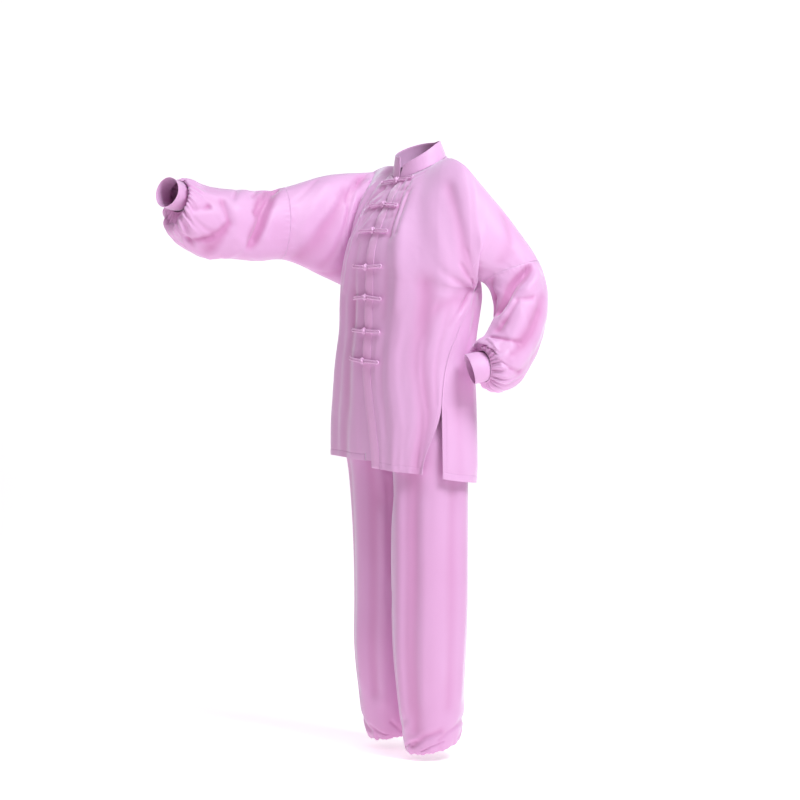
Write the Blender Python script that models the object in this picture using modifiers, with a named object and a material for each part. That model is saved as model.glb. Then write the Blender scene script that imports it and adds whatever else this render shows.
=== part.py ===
"""Tai chi uniform as worn: a jacket with a stand-up collar, cord fastenings and gathered cuffs, and loose trousers.

The origin is the middle of the neck opening's base. +X is the wearer's left, -Y the front and +Z up.
Heights in the tables are above the soles, and placed() takes the neck's own height off them.
Every cloth piece is a surface of its own, thickened inwards. Pieces stop short of each other at the seams.
"""

import math

import bmesh
import bpy
import numpy as np
from mathutils import Vector

LEFT = 1
RIGHT = -1
FRONT = -1
BACK = 1

NECK_HEIGHT = 1.415
WALL = 0.0015
SEAM_GAP = 0.0005

# The jacket's body below the arms, as half sizes of a ring around the middle. Seam angles are in degrees from the side
# of the body, with -90 at the centre front and 90 at the centre back.
TORSO_COLUMNS = ("height", "left", "right", "front", "back", "middle_y", "seam_left", "seam_right")
TORSO = (
    (0.660, 0.194, 0.230, 0.131, 0.111, -0.030, -22.0, 2.0),
    (0.700, 0.194, 0.229, 0.131, 0.111, -0.030, -22.0, 2.0),
    (0.800, 0.192, 0.220, 0.134, 0.111, -0.029, -22.0, 2.0),
    (0.880, 0.188, 0.210, 0.136, 0.110, -0.028, -21.0, 1.0),
    (0.960, 0.183, 0.202, 0.137, 0.108, -0.026, -15.0, 0.0),
    (1.030, 0.188, 0.195, 0.135, 0.106, -0.022, -6.0, -2.0),
    (1.100, 0.193, 0.195, 0.135, 0.114, -0.020, 6.0, -4.0),
    (1.160, 0.190, 0.190, 0.133, 0.124, -0.020, 12.0, -5.0),
)
RING_POWER = 0.92
CHEST_HEIGHT = 1.145
ARMPIT_RISE = {LEFT: -0.030, RIGHT: -0.018}

# Heights of the hem around the body. The raised arm lifts the right front.
HEM_COLUMNS = ("angle", "left", "right")
HEM = (
    (-100.0, 0.719, 0.732),
    (-90.0, 0.718, 0.733),
    (-60.0, 0.709, 0.741),
    (-40.0, 0.703, 0.743),
    (-22.0, 0.694, 0.742),
    (30.0, 0.683, 0.720),
    (90.0, 0.690, 0.690),
)
VENT_TOP = 0.863
VENT_SPREAD = 18.0
EDGE_SWING = 7.0
EDGE_SWING_FROM = 0.950
UNDERLAP = 9.0
UNDERLAP_INSET = 0.0034

# The neck opening's base, where the collar is sewn on.
NECK_SIDE = 0.066
NECK_FRONT = 0.058
NECK_BACK = 0.062
NECK_Y = 0.002
NECK_LIFT = 0.030
NECK_BASE = 1.410
NECK_SHARE = 0.45

SHOULDER_TIP = {LEFT: (0.167, 0.010, 1.384), RIGHT: (-0.168, 0.002, 1.414)}
SHOULDER_ARCH = {LEFT: 0.021, RIGHT: 0.010}
ARM_BLEND_FROM = 0.30

# Arm sections from the shoulder to the cuff. Each has its middle, then how far the cloth stands off it at the outside
# or top, at the underside, at the front and at the back. Lean carries the underside further along the arm.
ARM_COLUMNS = ("along", "x", "y", "height", "top", "under", "front", "back", "lean")
ARM = {
    LEFT: (
        (0.10, 0.200, 0.048, 1.222, 0.068, 0.112, 0.060, 0.060, 0.000),
        (0.17, 0.231, 0.092, 1.162, 0.057, 0.080, 0.056, 0.056, 0.000),
        (0.28, 0.256, 0.080, 1.060, 0.062, 0.060, 0.061, 0.056, 0.000),
        (0.36, 0.252, 0.048, 0.985, 0.064, 0.061, 0.062, 0.056, 0.000),
        (0.42, 0.242, 0.012, 0.948, 0.064, 0.062, 0.060, 0.056, 0.000),
        (0.45, 0.241, -0.010, 0.944, 0.050, 0.047, 0.042, 0.040, 0.000),
        (0.46, 0.240, -0.016, 0.944, 0.038, 0.038, 0.029, 0.029, 0.000),
    ),
    RIGHT: (
        (0.11, -0.192, -0.120, 1.283, 0.117, 0.124, 0.062, 0.058, 0.000),
        (0.23, -0.220, -0.230, 1.281, 0.084, 0.084, 0.055, 0.055, 0.000),
        (0.30, -0.236, -0.300, 1.272, 0.081, 0.082, 0.058, 0.058, 0.000),
        (0.37, -0.252, -0.370, 1.272, 0.083, 0.080, 0.058, 0.058, 0.006),
        (0.42, -0.262, -0.415, 1.272, 0.086, 0.074, 0.058, 0.056, 0.015),
        (0.455, -0.270, -0.450, 1.298, 0.067, 0.064, 0.055, 0.052, 0.030),
        (0.475, -0.272, -0.476, 1.325, 0.044, 0.054, 0.046, 0.044, 0.022),
        (0.482, -0.270, -0.483, 1.332, 0.037, 0.037, 0.034, 0.034, 0.000),
    ),
}
# The raised arm's rings stand upright, whatever way its middle line bends.
ARM_SLOPES = {LEFT: (1.0, 1.0, 1.0), RIGHT: (1.0, 1.0, 0.0)}
SEAM_ALONG = {LEFT: 0.17, RIGHT: 0.23}
ROOT_FRONT = {LEFT: 0.058, RIGHT: 0.062}
ROOT_BACK = {LEFT: 0.066, RIGHT: 0.056}
ROOT_REACH_FRONT = {LEFT: 0.000, RIGHT: 0.070}
ROOT_REACH_BACK = {LEFT: 0.020, RIGHT: 0.000}

CUFF_LENGTH = {LEFT: 0.030, RIGHT: 0.040}
CUFF_TURN = {LEFT: (-0.45, -0.80, -0.25), RIGHT: (0.30, -0.92, 0.20)}
CUFF_RADII = {LEFT: (0.0360, 0.0262), RIGHT: (0.0340, 0.0312)}
CUFF_FLARE = 1.03
CUFF_GAP = 0.0016

# How high the collar stands, by the angle round the neck from its left side.
COLLAR_COLUMNS = ("angle", "height")
COLLAR = ((-90.0, 0.029), (-50.0, 0.036), (0.0, 0.041), (90.0, 0.031), (180.0, 0.041), (235.0, 0.047), (270.0, 0.050))
COLLAR_LEAN = 0.010
COLLAR_LEAN_BACK = 0.005
COLLAR_V = {LEFT: 5.0, RIGHT: 4.0}
COLLAR_END = 0.8

PANEL_SPAN = 0.29
GATHERS = 18
GATHER_DEPTH = 0.0022
ANKLE_GATHERS = 13
ANKLE_GATHER_DEPTH = 0.0036

# Trouser legs. Up to the crotch the middle of a leg's ring is its own. Above it the rings run into one another at the
# centre seam.
LEG_COLUMNS = ("height", "half", "front", "back", "x", "left_y", "right_y", "tilt", "right_lift")
LEG = (
    (0.092, 0.046, 0.050, 0.048, 0.0865, -0.026, 0.004, 0.26, 0.008),
    (0.085, 0.056, 0.060, 0.058, 0.0865, -0.026, 0.004, 0.28, 0.008),
    (0.094, 0.062, 0.067, 0.066, 0.0865, -0.027, 0.001, 0.28, 0.008),
    (0.124, 0.067, 0.073, 0.071, 0.0865, -0.029, -0.004, 0.24, 0.007),
    (0.186, 0.073, 0.080, 0.076, 0.0865, -0.032, -0.011, 0.12, 0.004),
    (0.300, 0.082, 0.090, 0.085, 0.0868, -0.036, -0.014, 0.03, 0.000),
    (0.414, 0.085, 0.094, 0.090, 0.0868, -0.036, -0.010, 0.0, 0.000),
    (0.560, 0.0855, 0.095, 0.091, 0.0868, -0.035, -0.012, 0.0, 0.000),
    (0.685, 0.0858, 0.096, 0.084, 0.0868, -0.030, -0.020, 0.0, 0.000),
    (0.750, 0.0868, 0.103, 0.085, 0.0874, -0.028, -0.023, 0.0, 0.000),
    (0.775, 0.0880, 0.105, 0.085, 0.0885, -0.026, -0.024, 0.0, 0.000),
    (0.800, 0.1060, 0.107, 0.084, 0.0700, -0.025, -0.025, 0.0, 0.000),
    (0.840, 0.1400, 0.108, 0.084, 0.0340, -0.025, -0.025, 0.0, 0.000),
    (0.900, 0.1640, 0.108, 0.086, 0.0000, -0.024, -0.024, 0.0, 0.000),
    (0.960, 0.1540, 0.104, 0.082, 0.0000, -0.022, -0.022, 0.0, 0.000),
    (1.000, 0.1450, 0.100, 0.080, 0.0000, -0.020, -0.020, 0.0, 0.000),
)

# Folds: a line through three places of a piece's own cloth, how far it stands out or, below zero, in, and how wide it
# is to each side. A body panel's places are u and w of sheet_point(), a sleeve's are its distance along the arm and its
# turn, and a leg's are its row in the table and its share of the way round.
FOLD_COLUMNS = ("a1", "b1", "a2", "b2", "a3", "b3", "out", "width")
BODY_FOLDS = {
    (LEFT, FRONT): (
        (0.19, 0.21, 0.20, 0.44, 0.18, 0.65, -0.0035, 0.011),
        (0.28, 0.29, 0.26, 0.48, 0.24, 0.64, -0.0030, 0.010),
        (0.27, 0.55, 0.29, 1.12, 0.43, 1.98, 0.0060, 0.026),
        (0.50, 1.00, 0.72, 1.48, 0.88, 1.98, -0.0070, 0.028),
        (0.52, 0.44, 0.61, 0.70, 0.72, 0.98, 0.0045, 0.022),
        (0.70, 0.36, 0.79, 0.58, 0.87, 0.80, -0.0050, 0.018),
        (0.94, 0.97, 0.80, 0.90, 0.66, 0.86, -0.0045, 0.014),
        (0.95, 1.06, 0.82, 1.05, 0.68, 1.10, -0.0045, 0.014),
        (1.30, 0.25, 1.42, 0.40, 1.50, 0.62, -0.0045, 0.016),
        (1.10, 0.62, 1.26, 0.74, 1.42, 0.80, -0.0055, 0.016),
    ),
    (LEFT, BACK): (
        (0.18, 0.40, 0.24, 1.00, 0.20, 1.70, 0.0050, 0.026),
        (0.42, 0.55, 0.46, 1.20, 0.40, 1.98, -0.0060, 0.026),
        (0.66, 0.80, 0.70, 1.30, 0.64, 1.90, 0.0055, 0.026),
        (0.96, 0.70, 0.76, 0.62, 0.52, 0.50, -0.0050, 0.018),
        (0.98, 1.04, 0.84, 1.12, 0.72, 1.26, -0.0045, 0.016),
        (1.12, 0.55, 1.28, 0.62, 1.44, 0.58, -0.0045, 0.016),
    ),
    (RIGHT, FRONT): (
        (0.14, 0.16, 0.24, 0.28, 0.34, 0.42, -0.0035, 0.011),
        (0.12, 0.36, 0.18, 0.46, 0.28, 0.60, -0.0030, 0.011),
        (0.39, 0.70, 0.40, 1.33, 0.49, 1.98, 0.0070, 0.024),
        (0.17, 1.10, 0.18, 1.68, 0.25, 1.98, -0.0055, 0.018),
        (0.62, 1.02, 0.70, 1.50, 0.74, 1.98, -0.0060, 0.026),
        (1.10, 0.16, 1.17, 0.34, 1.22, 0.54, -0.0090, 0.014),
        (1.04, 0.20, 1.09, 0.38, 1.12, 0.56, 0.0060, 0.014),
        (1.28, 0.30, 1.53, 0.54, 1.68, 0.84, -0.0070, 0.022),
        (1.46, 0.20, 1.60, 0.36, 1.72, 0.58, 0.0045, 0.018),
    ),
    (RIGHT, BACK): (
        (0.22, 0.45, 0.20, 1.10, 0.26, 1.80, 0.0050, 0.026),
        (0.46, 0.90, 0.44, 1.40, 0.52, 1.98, -0.0065, 0.026),
        (0.72, 0.95, 0.70, 1.40, 0.78, 1.92, 0.0060, 0.028),
        (0.98, 0.40, 0.72, 0.52, 0.44, 0.72, -0.0065, 0.020),
        (0.98, 0.66, 0.78, 0.76, 0.56, 0.98, -0.0055, 0.018),
        (1.15, 0.30, 1.38, 0.44, 1.62, 0.50, -0.0055, 0.018),
        (1.10, 0.64, 1.36, 0.72, 1.66, 0.80, -0.0060, 0.020),
    ),
}
SLEEVE_FOLDS = {
    LEFT: (
        (0.18, 1.25, 0.225, 2.06, 0.285, 2.62, -0.0080, 0.014),
        (0.20, 1.00, 0.250, 1.72, 0.300, 2.20, 0.0050, 0.014),
        (0.25, 1.70, 0.290, 2.05, 0.340, 2.30, -0.0060, 0.012),
        (0.25, 0.85, 0.290, 1.05, 0.350, 1.30, -0.0045, 0.016),
        (0.24, 2.90, 0.290, 3.14, 0.330, 3.60, -0.0060, 0.014),
        (0.20, 4.20, 0.260, 4.60, 0.340, 4.70, -0.0050, 0.016),
        (0.24, 5.60, 0.300, 5.40, 0.380, 5.55, -0.0045, 0.018),
    ),
    RIGHT: (
        (0.245, 0.14, 0.290, 1.20, 0.325, 2.10, -0.0080, 0.014),
        (0.262, 0.05, 0.300, 0.62, 0.312, 1.20, -0.0045, 0.011),
        (0.415, 2.50, 0.400, 2.10, 0.375, 1.60, -0.0050, 0.014),
        (0.330, 0.30, 0.360, 1.10, 0.370, 1.90, 0.0040, 0.020),
        (0.250, 5.90, 0.290, 5.00, 0.310, 4.20, -0.0060, 0.018),
        (0.340, 5.80, 0.370, 5.00, 0.400, 4.10, -0.0050, 0.016),
        (0.280, 3.60, 0.330, 3.20, 0.390, 3.00, -0.0040, 0.016),
    ),
}
LEG_FOLDS = {
    LEFT: (
        (9.6, 0.225, 6.7, 0.255, 3.6, 0.226, 0.0045, 0.018),
        (9.4, 0.315, 6.7, 0.325, 3.4, 0.305, -0.0055, 0.018),
        (8.0, 0.420, 6.4, 0.400, 4.8, 0.410, 0.0035, 0.020),
        (2.6, 0.265, 3.1, 0.350, 3.2, 0.430, -0.0050, 0.010),
        (2.8, 0.120, 3.4, 0.160, 3.7, 0.240, -0.0040, 0.010),
        (9.0, 0.620, 6.8, 0.640, 4.2, 0.620, -0.0055, 0.022),
        (8.6, 0.780, 6.2, 0.760, 4.0, 0.780, 0.0050, 0.022),
        (2.7, 0.700, 3.2, 0.640, 3.3, 0.560, -0.0045, 0.012),
        (9.4, 0.080, 8.4, 0.110, 7.6, 0.160, -0.0045, 0.014),
    ),
    RIGHT: (
        (9.2, 0.225, 7.0, 0.235, 4.4, 0.250, 0.0045, 0.018),
        (9.0, 0.160, 6.8, 0.172, 4.2, 0.178, -0.0050, 0.016),
        (8.2, 0.120, 6.0, 0.130, 3.9, 0.138, 0.0035, 0.014),
        (9.0, 0.380, 6.4, 0.360, 4.0, 0.370, -0.0050, 0.022),
        (9.4, 0.080, 8.4, 0.100, 7.6, 0.128, -0.0050, 0.014),
        (8.8, 0.640, 6.6, 0.610, 4.4, 0.630, -0.0055, 0.022),
        (8.4, 0.760, 6.4, 0.770, 4.4, 0.750, 0.0045, 0.022),
        (2.7, 0.250, 3.2, 0.330, 3.4, 0.420, -0.0045, 0.012),
        (2.8, 0.620, 3.2, 0.700, 3.3, 0.780, -0.0045, 0.012),
    ),
}


def reader(columns, rows):
    """A table as a name for each column, with one array each."""
    return {name: np.array([row[i] for row in rows], float) for i, name in enumerate(columns)}


def spline(xs, ys, at):
    """A smooth curve through rows of numbers or points, at one place or many."""
    xs = np.asarray(xs, float)
    ys = np.asarray(ys, float)
    at = np.clip(np.asarray(at, float), xs[0], xs[-1])
    slopes = np.gradient(ys, xs, axis=0)
    i = np.clip(np.searchsorted(xs, at) - 1, 0, len(xs) - 2)
    width = xs[i + 1] - xs[i]
    t = (at - xs[i]) / width
    more = (Ellipsis,) + (None,) * (ys.ndim - 1)
    t = t[more]
    width = width[more]
    lower = (1 + 2 * t) * (1 - t) ** 2 * ys[i] + t * (1 - t) ** 2 * width * slopes[i]
    upper = t * t * (3 - 2 * t) * ys[i + 1] + t * t * (t - 1) * width * slopes[i + 1]
    return lower + upper


def spline_each(xs, stack, at):
    """As spline(), where each place of an array has a row of points of its own."""
    xs = np.asarray(xs, float)
    at = np.clip(at, xs[0], xs[-1])
    slopes = np.gradient(stack, xs, axis=0)
    i = np.clip(np.searchsorted(xs, at) - 1, 0, len(xs) - 2)
    width = (xs[i + 1] - xs[i])[..., None]
    t = (at - xs[i])[..., None] / width
    pick = i[None, ..., None]
    y0, m0 = (np.take_along_axis(values, pick, 0)[0] for values in (stack, slopes))
    y1, m1 = (np.take_along_axis(values, pick + 1, 0)[0] for values in (stack, slopes))
    lower = (1 + 2 * t) * (1 - t) ** 2 * y0 + t * (1 - t) ** 2 * width * m0
    return lower + t * t * (3 - 2 * t) * y1 + t * t * (t - 1) * width * m1


def ease(t):
    t = np.clip(t, 0.0, 1.0)
    return t * t * (3 - 2 * t)


def unit(v):
    v = np.asarray(v, float)
    return v / np.linalg.norm(v, axis=-1, keepdims=True)


def placed(x, y, height):
    """World points from a place over the floor and a height above the soles."""
    x, y, height = np.broadcast_arrays(x, y, height)
    return np.stack([x, y, height - NECK_HEIGHT], axis=-1)


TORSO_AT = reader(TORSO_COLUMNS, TORSO)
HEM_AT = reader(HEM_COLUMNS, HEM)
LEG_AT = reader(LEG_COLUMNS, LEG)
COLLAR_AT = reader(COLLAR_COLUMNS, COLLAR)
ARM_AT = {side: reader(ARM_COLUMNS, rows) for side, rows in ARM.items()}


def torso(column, height):
    return spline(TORSO_AT["height"], TORSO_AT[column], height)


def torso_ring(side, height, angle):
    """The body's cloth at a height and at an angle in degrees from the side."""
    height, angle = np.broadcast_arrays(np.asarray(height, float), np.asarray(angle, float))
    turn = np.radians(angle)
    across = np.cos(turn)
    along = np.sin(turn)
    half = torso("left" if side == LEFT else "right", height)
    depth = np.where(along < 0, torso("front", height), torso("back", height))
    x = side * half * np.sign(across) * np.abs(across) ** RING_POWER
    y = torso("middle_y", height) + depth * np.sign(along) * np.abs(along) ** RING_POWER
    return placed(x, y, height)


def seam_angle(side, height):
    return torso("seam_left" if side == LEFT else "seam_right", height)


def hem_height(side, angle):
    return spline(HEM_AT["angle"], HEM_AT["left" if side == LEFT else "right"], angle)


def edge_angle(side, height):
    """Where a front panel's middle edge runs: on the centre line, but the left one opens below the last fastening."""
    if side == RIGHT:
        return np.full(np.shape(height), -90.0)
    return -90.0 + EDGE_SWING * ease((EDGE_SWING_FROM - height) / 0.24)


def angles(side, face, u, height):
    """Ring angles for a panel, from its middle edge at u = 0 to its side edge at u = 1."""
    gap = math.degrees(0.5 * SEAM_GAP / torso("left", CHEST_HEIGHT))
    opening = ease((VENT_TOP - height) / (VENT_TOP - 0.70)) * VENT_SPREAD
    seam = seam_angle(side, height)
    if face == FRONT:
        first = edge_angle(side, height)
        last = seam - gap - opening
    else:
        first = 90.0 - gap
        last = seam + gap
    return first + (last - first) * u


def chest(side, face, u):
    angle = angles(side, face, u, CHEST_HEIGHT)
    height = CHEST_HEIGHT + ARMPIT_RISE[side] * np.cos(np.radians(angle)) ** 2
    return torso_ring(side, height, angle)


def neck_ring(side, angle):
    """The neck opening's base at an angle in degrees from the side of the neck."""
    turn = np.radians(angle)
    depth = np.where(np.sin(turn) < 0, NECK_FRONT, NECK_BACK)
    x = side * NECK_SIDE * np.cos(turn)
    y = NECK_Y + depth * np.sin(turn)
    return placed(x, y, NECK_BASE + NECK_LIFT * np.sin(turn) + 0.005 * np.abs(np.cos(turn)))


def top_line(side, face, u):
    """The upper end of a panel's columns: round the neck first, then out along the shoulder."""
    u = np.asarray(u, float)
    start = -90.0 if face == FRONT else 90.0 - math.degrees(0.5 * SEAM_GAP / NECK_SIDE)
    round_neck = neck_ring(side, start * (1 - np.clip(u / NECK_SHARE, 0.0, 1.0)))
    out = np.clip((u - NECK_SHARE) / (1 - NECK_SHARE), 0.0, 1.0)[..., None]
    at_neck = neck_ring(side, 0.0)
    tip = placed(*SHOULDER_TIP[side])
    ridge = at_neck + (tip - at_neck) * out + np.array([0.0, 0.0, SHOULDER_ARCH[side]]) * 4 * out * (1 - out)
    return np.where(out > 0, ridge, round_neck)


def arm_frames(side):
    """For each arm section its middle, its direction and the way to its top, carried along without twist."""
    table = ARM_AT[side]
    middles = placed(table["x"], table["y"], table["height"])
    tip = placed(*SHOULDER_TIP[side])
    root = 0.5 * (tip + chest(side, FRONT, 1.0))
    path = np.vstack([root, middles])
    ways = unit(np.gradient(path, axis=0) * ARM_SLOPES[side])
    top = tip - chest(side, FRONT, 1.0)
    tops = []
    for way in ways:
        top = unit(top - np.dot(top, way) * way)
        tops.append(top)
    fronts = side * np.cross(ways, tops)
    return path, ways, np.array(tops), fronts


FRAMES = {side: arm_frames(side) for side in (LEFT, RIGHT)}


def arm_root(side, face, turn):
    """The line where body and arm meet, by its turn from the shoulder's top round the front or the back."""
    turn = np.asarray(turn, float)[..., None]
    path, ways, tops, fronts = FRAMES[side]
    tip = placed(*SHOULDER_TIP[side])
    pit = chest(side, face, 1.0)
    half = ROOT_FRONT[side] if face == FRONT else ROOT_BACK[side]
    reach = ROOT_REACH_FRONT[side] if face == FRONT else ROOT_REACH_BACK[side]
    outward = -face * fronts[0] * half
    ring = 0.5 * (tip + pit) + 0.5 * (tip - pit) * np.cos(turn)
    return ring + outward * np.sin(turn) + ways[0] * reach * np.sin(turn) ** 2


def arm_section(side, index, turn):
    """Ring of one arm section, by the turn from the top, forwards."""
    table = ARM_AT[side]
    path, ways, tops, fronts = FRAMES[side]
    turn = np.asarray(turn, float)[..., None]
    up = np.where(np.cos(turn) > 0, table["top"][index], table["under"][index])
    out = np.where(np.sin(turn) > 0, table["front"][index], table["back"][index])
    ring = path[index + 1] + tops[index + 1] * up * np.cos(turn) + fronts[index + 1] * out * np.sin(turn)
    return ring + ways[index + 1] * table["lean"][index] * 0.5 * (1 - np.cos(turn))


def arm_point(side, along, turn, face=None):
    """Sleeve cloth at a distance along the arm and a turn from its top. Positive turns go round the front."""
    along = np.asarray(along, float)
    turn = np.asarray(turn, float)
    along, turn = np.broadcast_arrays(along, turn)
    table = ARM_AT[side]
    if face is None:
        wrapped = (turn + math.pi) % (2 * math.pi) - math.pi
        ahead = arm_root(side, FRONT, np.abs(wrapped))
        behind = arm_root(side, BACK, np.abs(wrapped))
        rings = [np.where((wrapped >= 0)[..., None], ahead, behind)]
    else:
        rings = [arm_root(side, face, np.abs(turn))]
    for index in range(len(table["along"])):
        rings.append(arm_section(side, index, turn))
    places = np.concatenate([[0.0], table["along"]])
    return spline_each(places, np.stack(rings), along)


def upper_panel(side, face, u, v):
    """The panel from the shoulder, v = 0, to the level of the armpit, v = 1."""
    u, v = np.broadcast_arrays(np.asarray(u, float), np.asarray(v, float))
    top = top_line(side, face, u)
    low = chest(side, face, u)
    slope = np.where(u < NECK_SHARE, 1 - u / NECK_SHARE, 0.0)
    steep = np.radians(12.0 + (42.0 if face == FRONT else 30.0) * slope)
    spread = 0.25 * side * slope * np.sin(np.pi * u)
    start = np.stack([spread, face * np.cos(steep), -np.sin(steep)], axis=-1)
    first = top + start * (0.075 if face == FRONT else 0.070)
    second = low + np.array([0.0, face * 0.004, 0.090])
    t = v[..., None]
    curve = (1 - t) ** 3 * top + 3 * t * (1 - t) ** 2 * first + 3 * t * t * (1 - t) * second + t ** 3 * low
    root = arm_root(side, face, np.pi * v)
    carried = root + (1 - t) * (top - arm_root(side, face, 0.0)) + t * (low - arm_root(side, face, np.pi))
    share = ease((u - ARM_BLEND_FROM) / (1 - ARM_BLEND_FROM))[..., None]
    return curve + (carried - curve) * share


def lower_panel(side, face, u, t):
    """The panel from the armpit's level, t = 0, to the hem, t = 1."""
    u, t = np.broadcast_arrays(np.asarray(u, float), np.asarray(t, float))
    start = chest(side, face, u)[..., 2] + NECK_HEIGHT
    height = start
    for _ in range(3):
        angle = angles(side, face, u, height)
        height = start + (hem_height(side, angle) - start) * t
    return torso_ring(side, height, angles(side, face, u, height))


def inset(points):
    """Takes the right front in towards the body near the centre line, where the left front covers it."""
    depth = UNDERLAP_INSET * ease((points[..., 0] + 0.034) / 0.026)
    return points + depth[..., None] * np.array([0.0, 1.0, 0.0])


def panel_point(side, face, u, w):
    """Jacket body at u from the middle edge to the side, w from the shoulder, 0, past the armpit's level, 1, to the hem, 2."""
    u, w = np.broadcast_arrays(np.asarray(u, float), np.asarray(w, float))
    above = upper_panel(side, face, u, np.minimum(w, 1.0))
    below = lower_panel(side, face, u, np.maximum(w - 1.0, 0.0))
    points = np.where((w <= 1.0)[..., None], above, below)
    return inset(points) if (side, face) == (RIGHT, FRONT) else points


def underlap_point(share, w):
    """The right front's edge under the left front, made from the left front's own points, moved in."""
    share, w = np.broadcast_arrays(np.asarray(share, float), np.asarray(w, float))
    whole = angles(LEFT, FRONT, 1.0, CHEST_HEIGHT) + 90.0
    above = upper_panel(LEFT, FRONT, share * UNDERLAP / whole, np.minimum(w, 1.0))
    start = chest(LEFT, FRONT, share * UNDERLAP / whole)[..., 2] + NECK_HEIGHT
    height = start + (hem_height(RIGHT, -90.0) - start) * np.maximum(w - 1.0, 0.0)
    below = torso_ring(LEFT, height, -90.0 + UNDERLAP * share)
    return inset(np.where((w <= 1.0)[..., None], above, below))


def fold_field(rows, a, b, a_length, b_length):
    """How far folds carry the cloth out at each place. Lengths are the metres that one unit of a or b stands for."""
    field = np.zeros(np.broadcast(a, b).shape)
    for row in rows:
        fold = dict(zip(FOLD_COLUMNS, row))
        places = [(fold["a" + n], fold["b" + n]) for n in "123"]
        nearest = np.full(field.shape, np.inf)
        for first, last in zip(places, places[1:]):
            run = np.array([(last[0] - first[0]) * a_length, (last[1] - first[1]) * b_length])
            da = (a - first[0]) * a_length
            db = (b - first[1]) * b_length
            t = np.clip((da * run[0] + db * run[1]) / np.dot(run, run), 0.0, 1.0)
            nearest = np.minimum(nearest, np.hypot(da - t * run[0], db - t * run[1]))
        field += fold["out"] * np.exp(-((nearest / fold["width"]) ** 2))
    return field


def normals(point, a, b, step_a, step_b, side):
    """Outward normals of a surface given as a function of two places."""
    across = point(a + step_a, b) - point(a - step_a, b)
    along = point(a, b + step_b) - point(a, b - step_b)
    return unit(np.cross(across, along)) * side


def plain_sheet(side, face, u, w):
    """Body panel and upper sleeve as one sheet: u past 1 goes on along the arm, by PANEL_SPAN for each unit."""
    u, w = np.broadcast_arrays(np.asarray(u, float), np.asarray(w, float))
    w = np.clip(w, 0.0, 2.0)
    body = panel_point(side, face, np.clip(u, 0.0, 1.0), w)
    along = np.maximum(u - 1.0, 0.0) * PANEL_SPAN
    gap = 0.5 * SEAM_GAP / 0.06 * np.minimum(along / SEAM_ALONG[side], 1.0)
    arm = arm_point(side, along, -face * np.minimum(w, 1.0) * (np.pi - gap), face)
    return np.where((u <= 1.0)[..., None], body, arm)


def sheet_point(side, face, u, w):
    """plain_sheet() with its folds, which fade out at the seams, the shoulder and the middle edge."""
    u, w = np.broadcast_arrays(np.asarray(u, float), np.asarray(w, float))

    def plain(some_u, some_w):
        return plain_sheet(side, face, some_u, some_w)

    field = fold_field(BODY_FOLDS[side, face], u, w, PANEL_SPAN, 0.32)
    field *= ease(u / 0.10) * ease(w / 0.12)
    field *= ease((1.0 + SEAM_ALONG[side] / PANEL_SPAN - u) / 0.10)
    field *= np.where(u > 1.0, ease((1.0 - w) / 0.10), ease((1.0 - u) / 0.06 + np.clip((1.0 - w) / 0.06, 0.0, 1.0)))
    out = normals(plain, u, w, 0.01, 0.01, side * face)
    return plain(u, w) + out * field[..., None]


def plain_leg(side, height, share):
    """Trouser leg at a row of the table, by the share of the way round from the inner seam's front to its back."""
    height, share = np.broadcast_arrays(np.asarray(height, float), np.asarray(share, float))
    order = np.arange(len(LEG_AT["height"]))
    at = {name: spline(order, values, height) for name, values in LEG_AT.items()}
    start = np.arccos(np.clip((at["x"] - 0.5 * SEAM_GAP) / at["half"], -1.0, 1.0))
    turn = start + (2 * np.pi - 2 * start) * share
    depth = np.where(np.sin(turn) > 0, at["front"], at["back"])
    middle_y = at["left_y"] if side == LEFT else at["right_y"]
    x = side * (at["x"] - at["half"] * np.cos(turn))
    y = middle_y - depth * np.sin(turn)
    lift = 0.0 if side == LEFT else at["right_lift"]
    return placed(x, y, at["height"] + lift + at["tilt"] * (y - middle_y))


def leg_point(side, row, share):
    """plain_leg() with its folds and the gathers at the ankle."""
    row, share = np.broadcast_arrays(np.asarray(row, float), np.asarray(share, float))

    def plain(some_row, some_share):
        return plain_leg(side, some_row, np.clip(some_share, 0.0, 1.0))

    field = fold_field(LEG_FOLDS[side], row, share, 0.075, 0.53)
    wave = 0.5 * (np.cos(2 * np.pi * ANKLE_GATHERS * share) - 1)
    field += wave * (1 - ease((row - 0.6) / 2.8)) * ANKLE_GATHER_DEPTH
    field *= ease(share / 0.04) * ease((1 - share) / 0.04)
    out = normals(plain, row, share, 0.02, 0.004, -side)
    return plain(row, share) + out * field[..., None]


def sleeve_point(side, along, turn):
    """Lower sleeve with its folds and the gathers at the cuff."""
    along, turn = np.broadcast_arrays(np.asarray(along, float), np.asarray(turn, float))

    def plain(some_along, some_turn):
        return arm_point(side, some_along, some_turn)

    end = ARM_AT[side]["along"][-1]
    field = fold_field(SLEEVE_FOLDS[side], along, turn % (2 * np.pi), 1.0, 0.062)
    field *= ease((along - SEAM_ALONG[side]) / 0.02)
    wave = np.cos(GATHERS * turn) * ease((along - end + 0.09) / 0.08)
    field += wave * GATHER_DEPTH
    inside = arm_point(side, along, turn + np.pi)
    here = plain(along, turn)
    lengthways = plain(along + 0.002, turn) - plain(along - 0.002, turn)
    crossways = plain(along, turn + 0.02) - plain(along, turn - 0.02)
    out = unit(np.cross(lengthways, crossways))
    facing = np.sign(np.sum(out * (here - inside), axis=-1, keepdims=True))
    return here + out * facing * field[..., None]


def grid(points, closed=False):
    """Points and faces of a surface from rows and columns of points."""
    rows, cols = points.shape[:2]
    faces = []
    for j in range(rows - 1):
        for i in range(cols if closed else cols - 1):
            n = (i + 1) % cols
            faces.append((j * cols + i, j * cols + n, (j + 1) * cols + n, (j + 1) * cols + i))
    return points.reshape(-1, 3), faces


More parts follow.
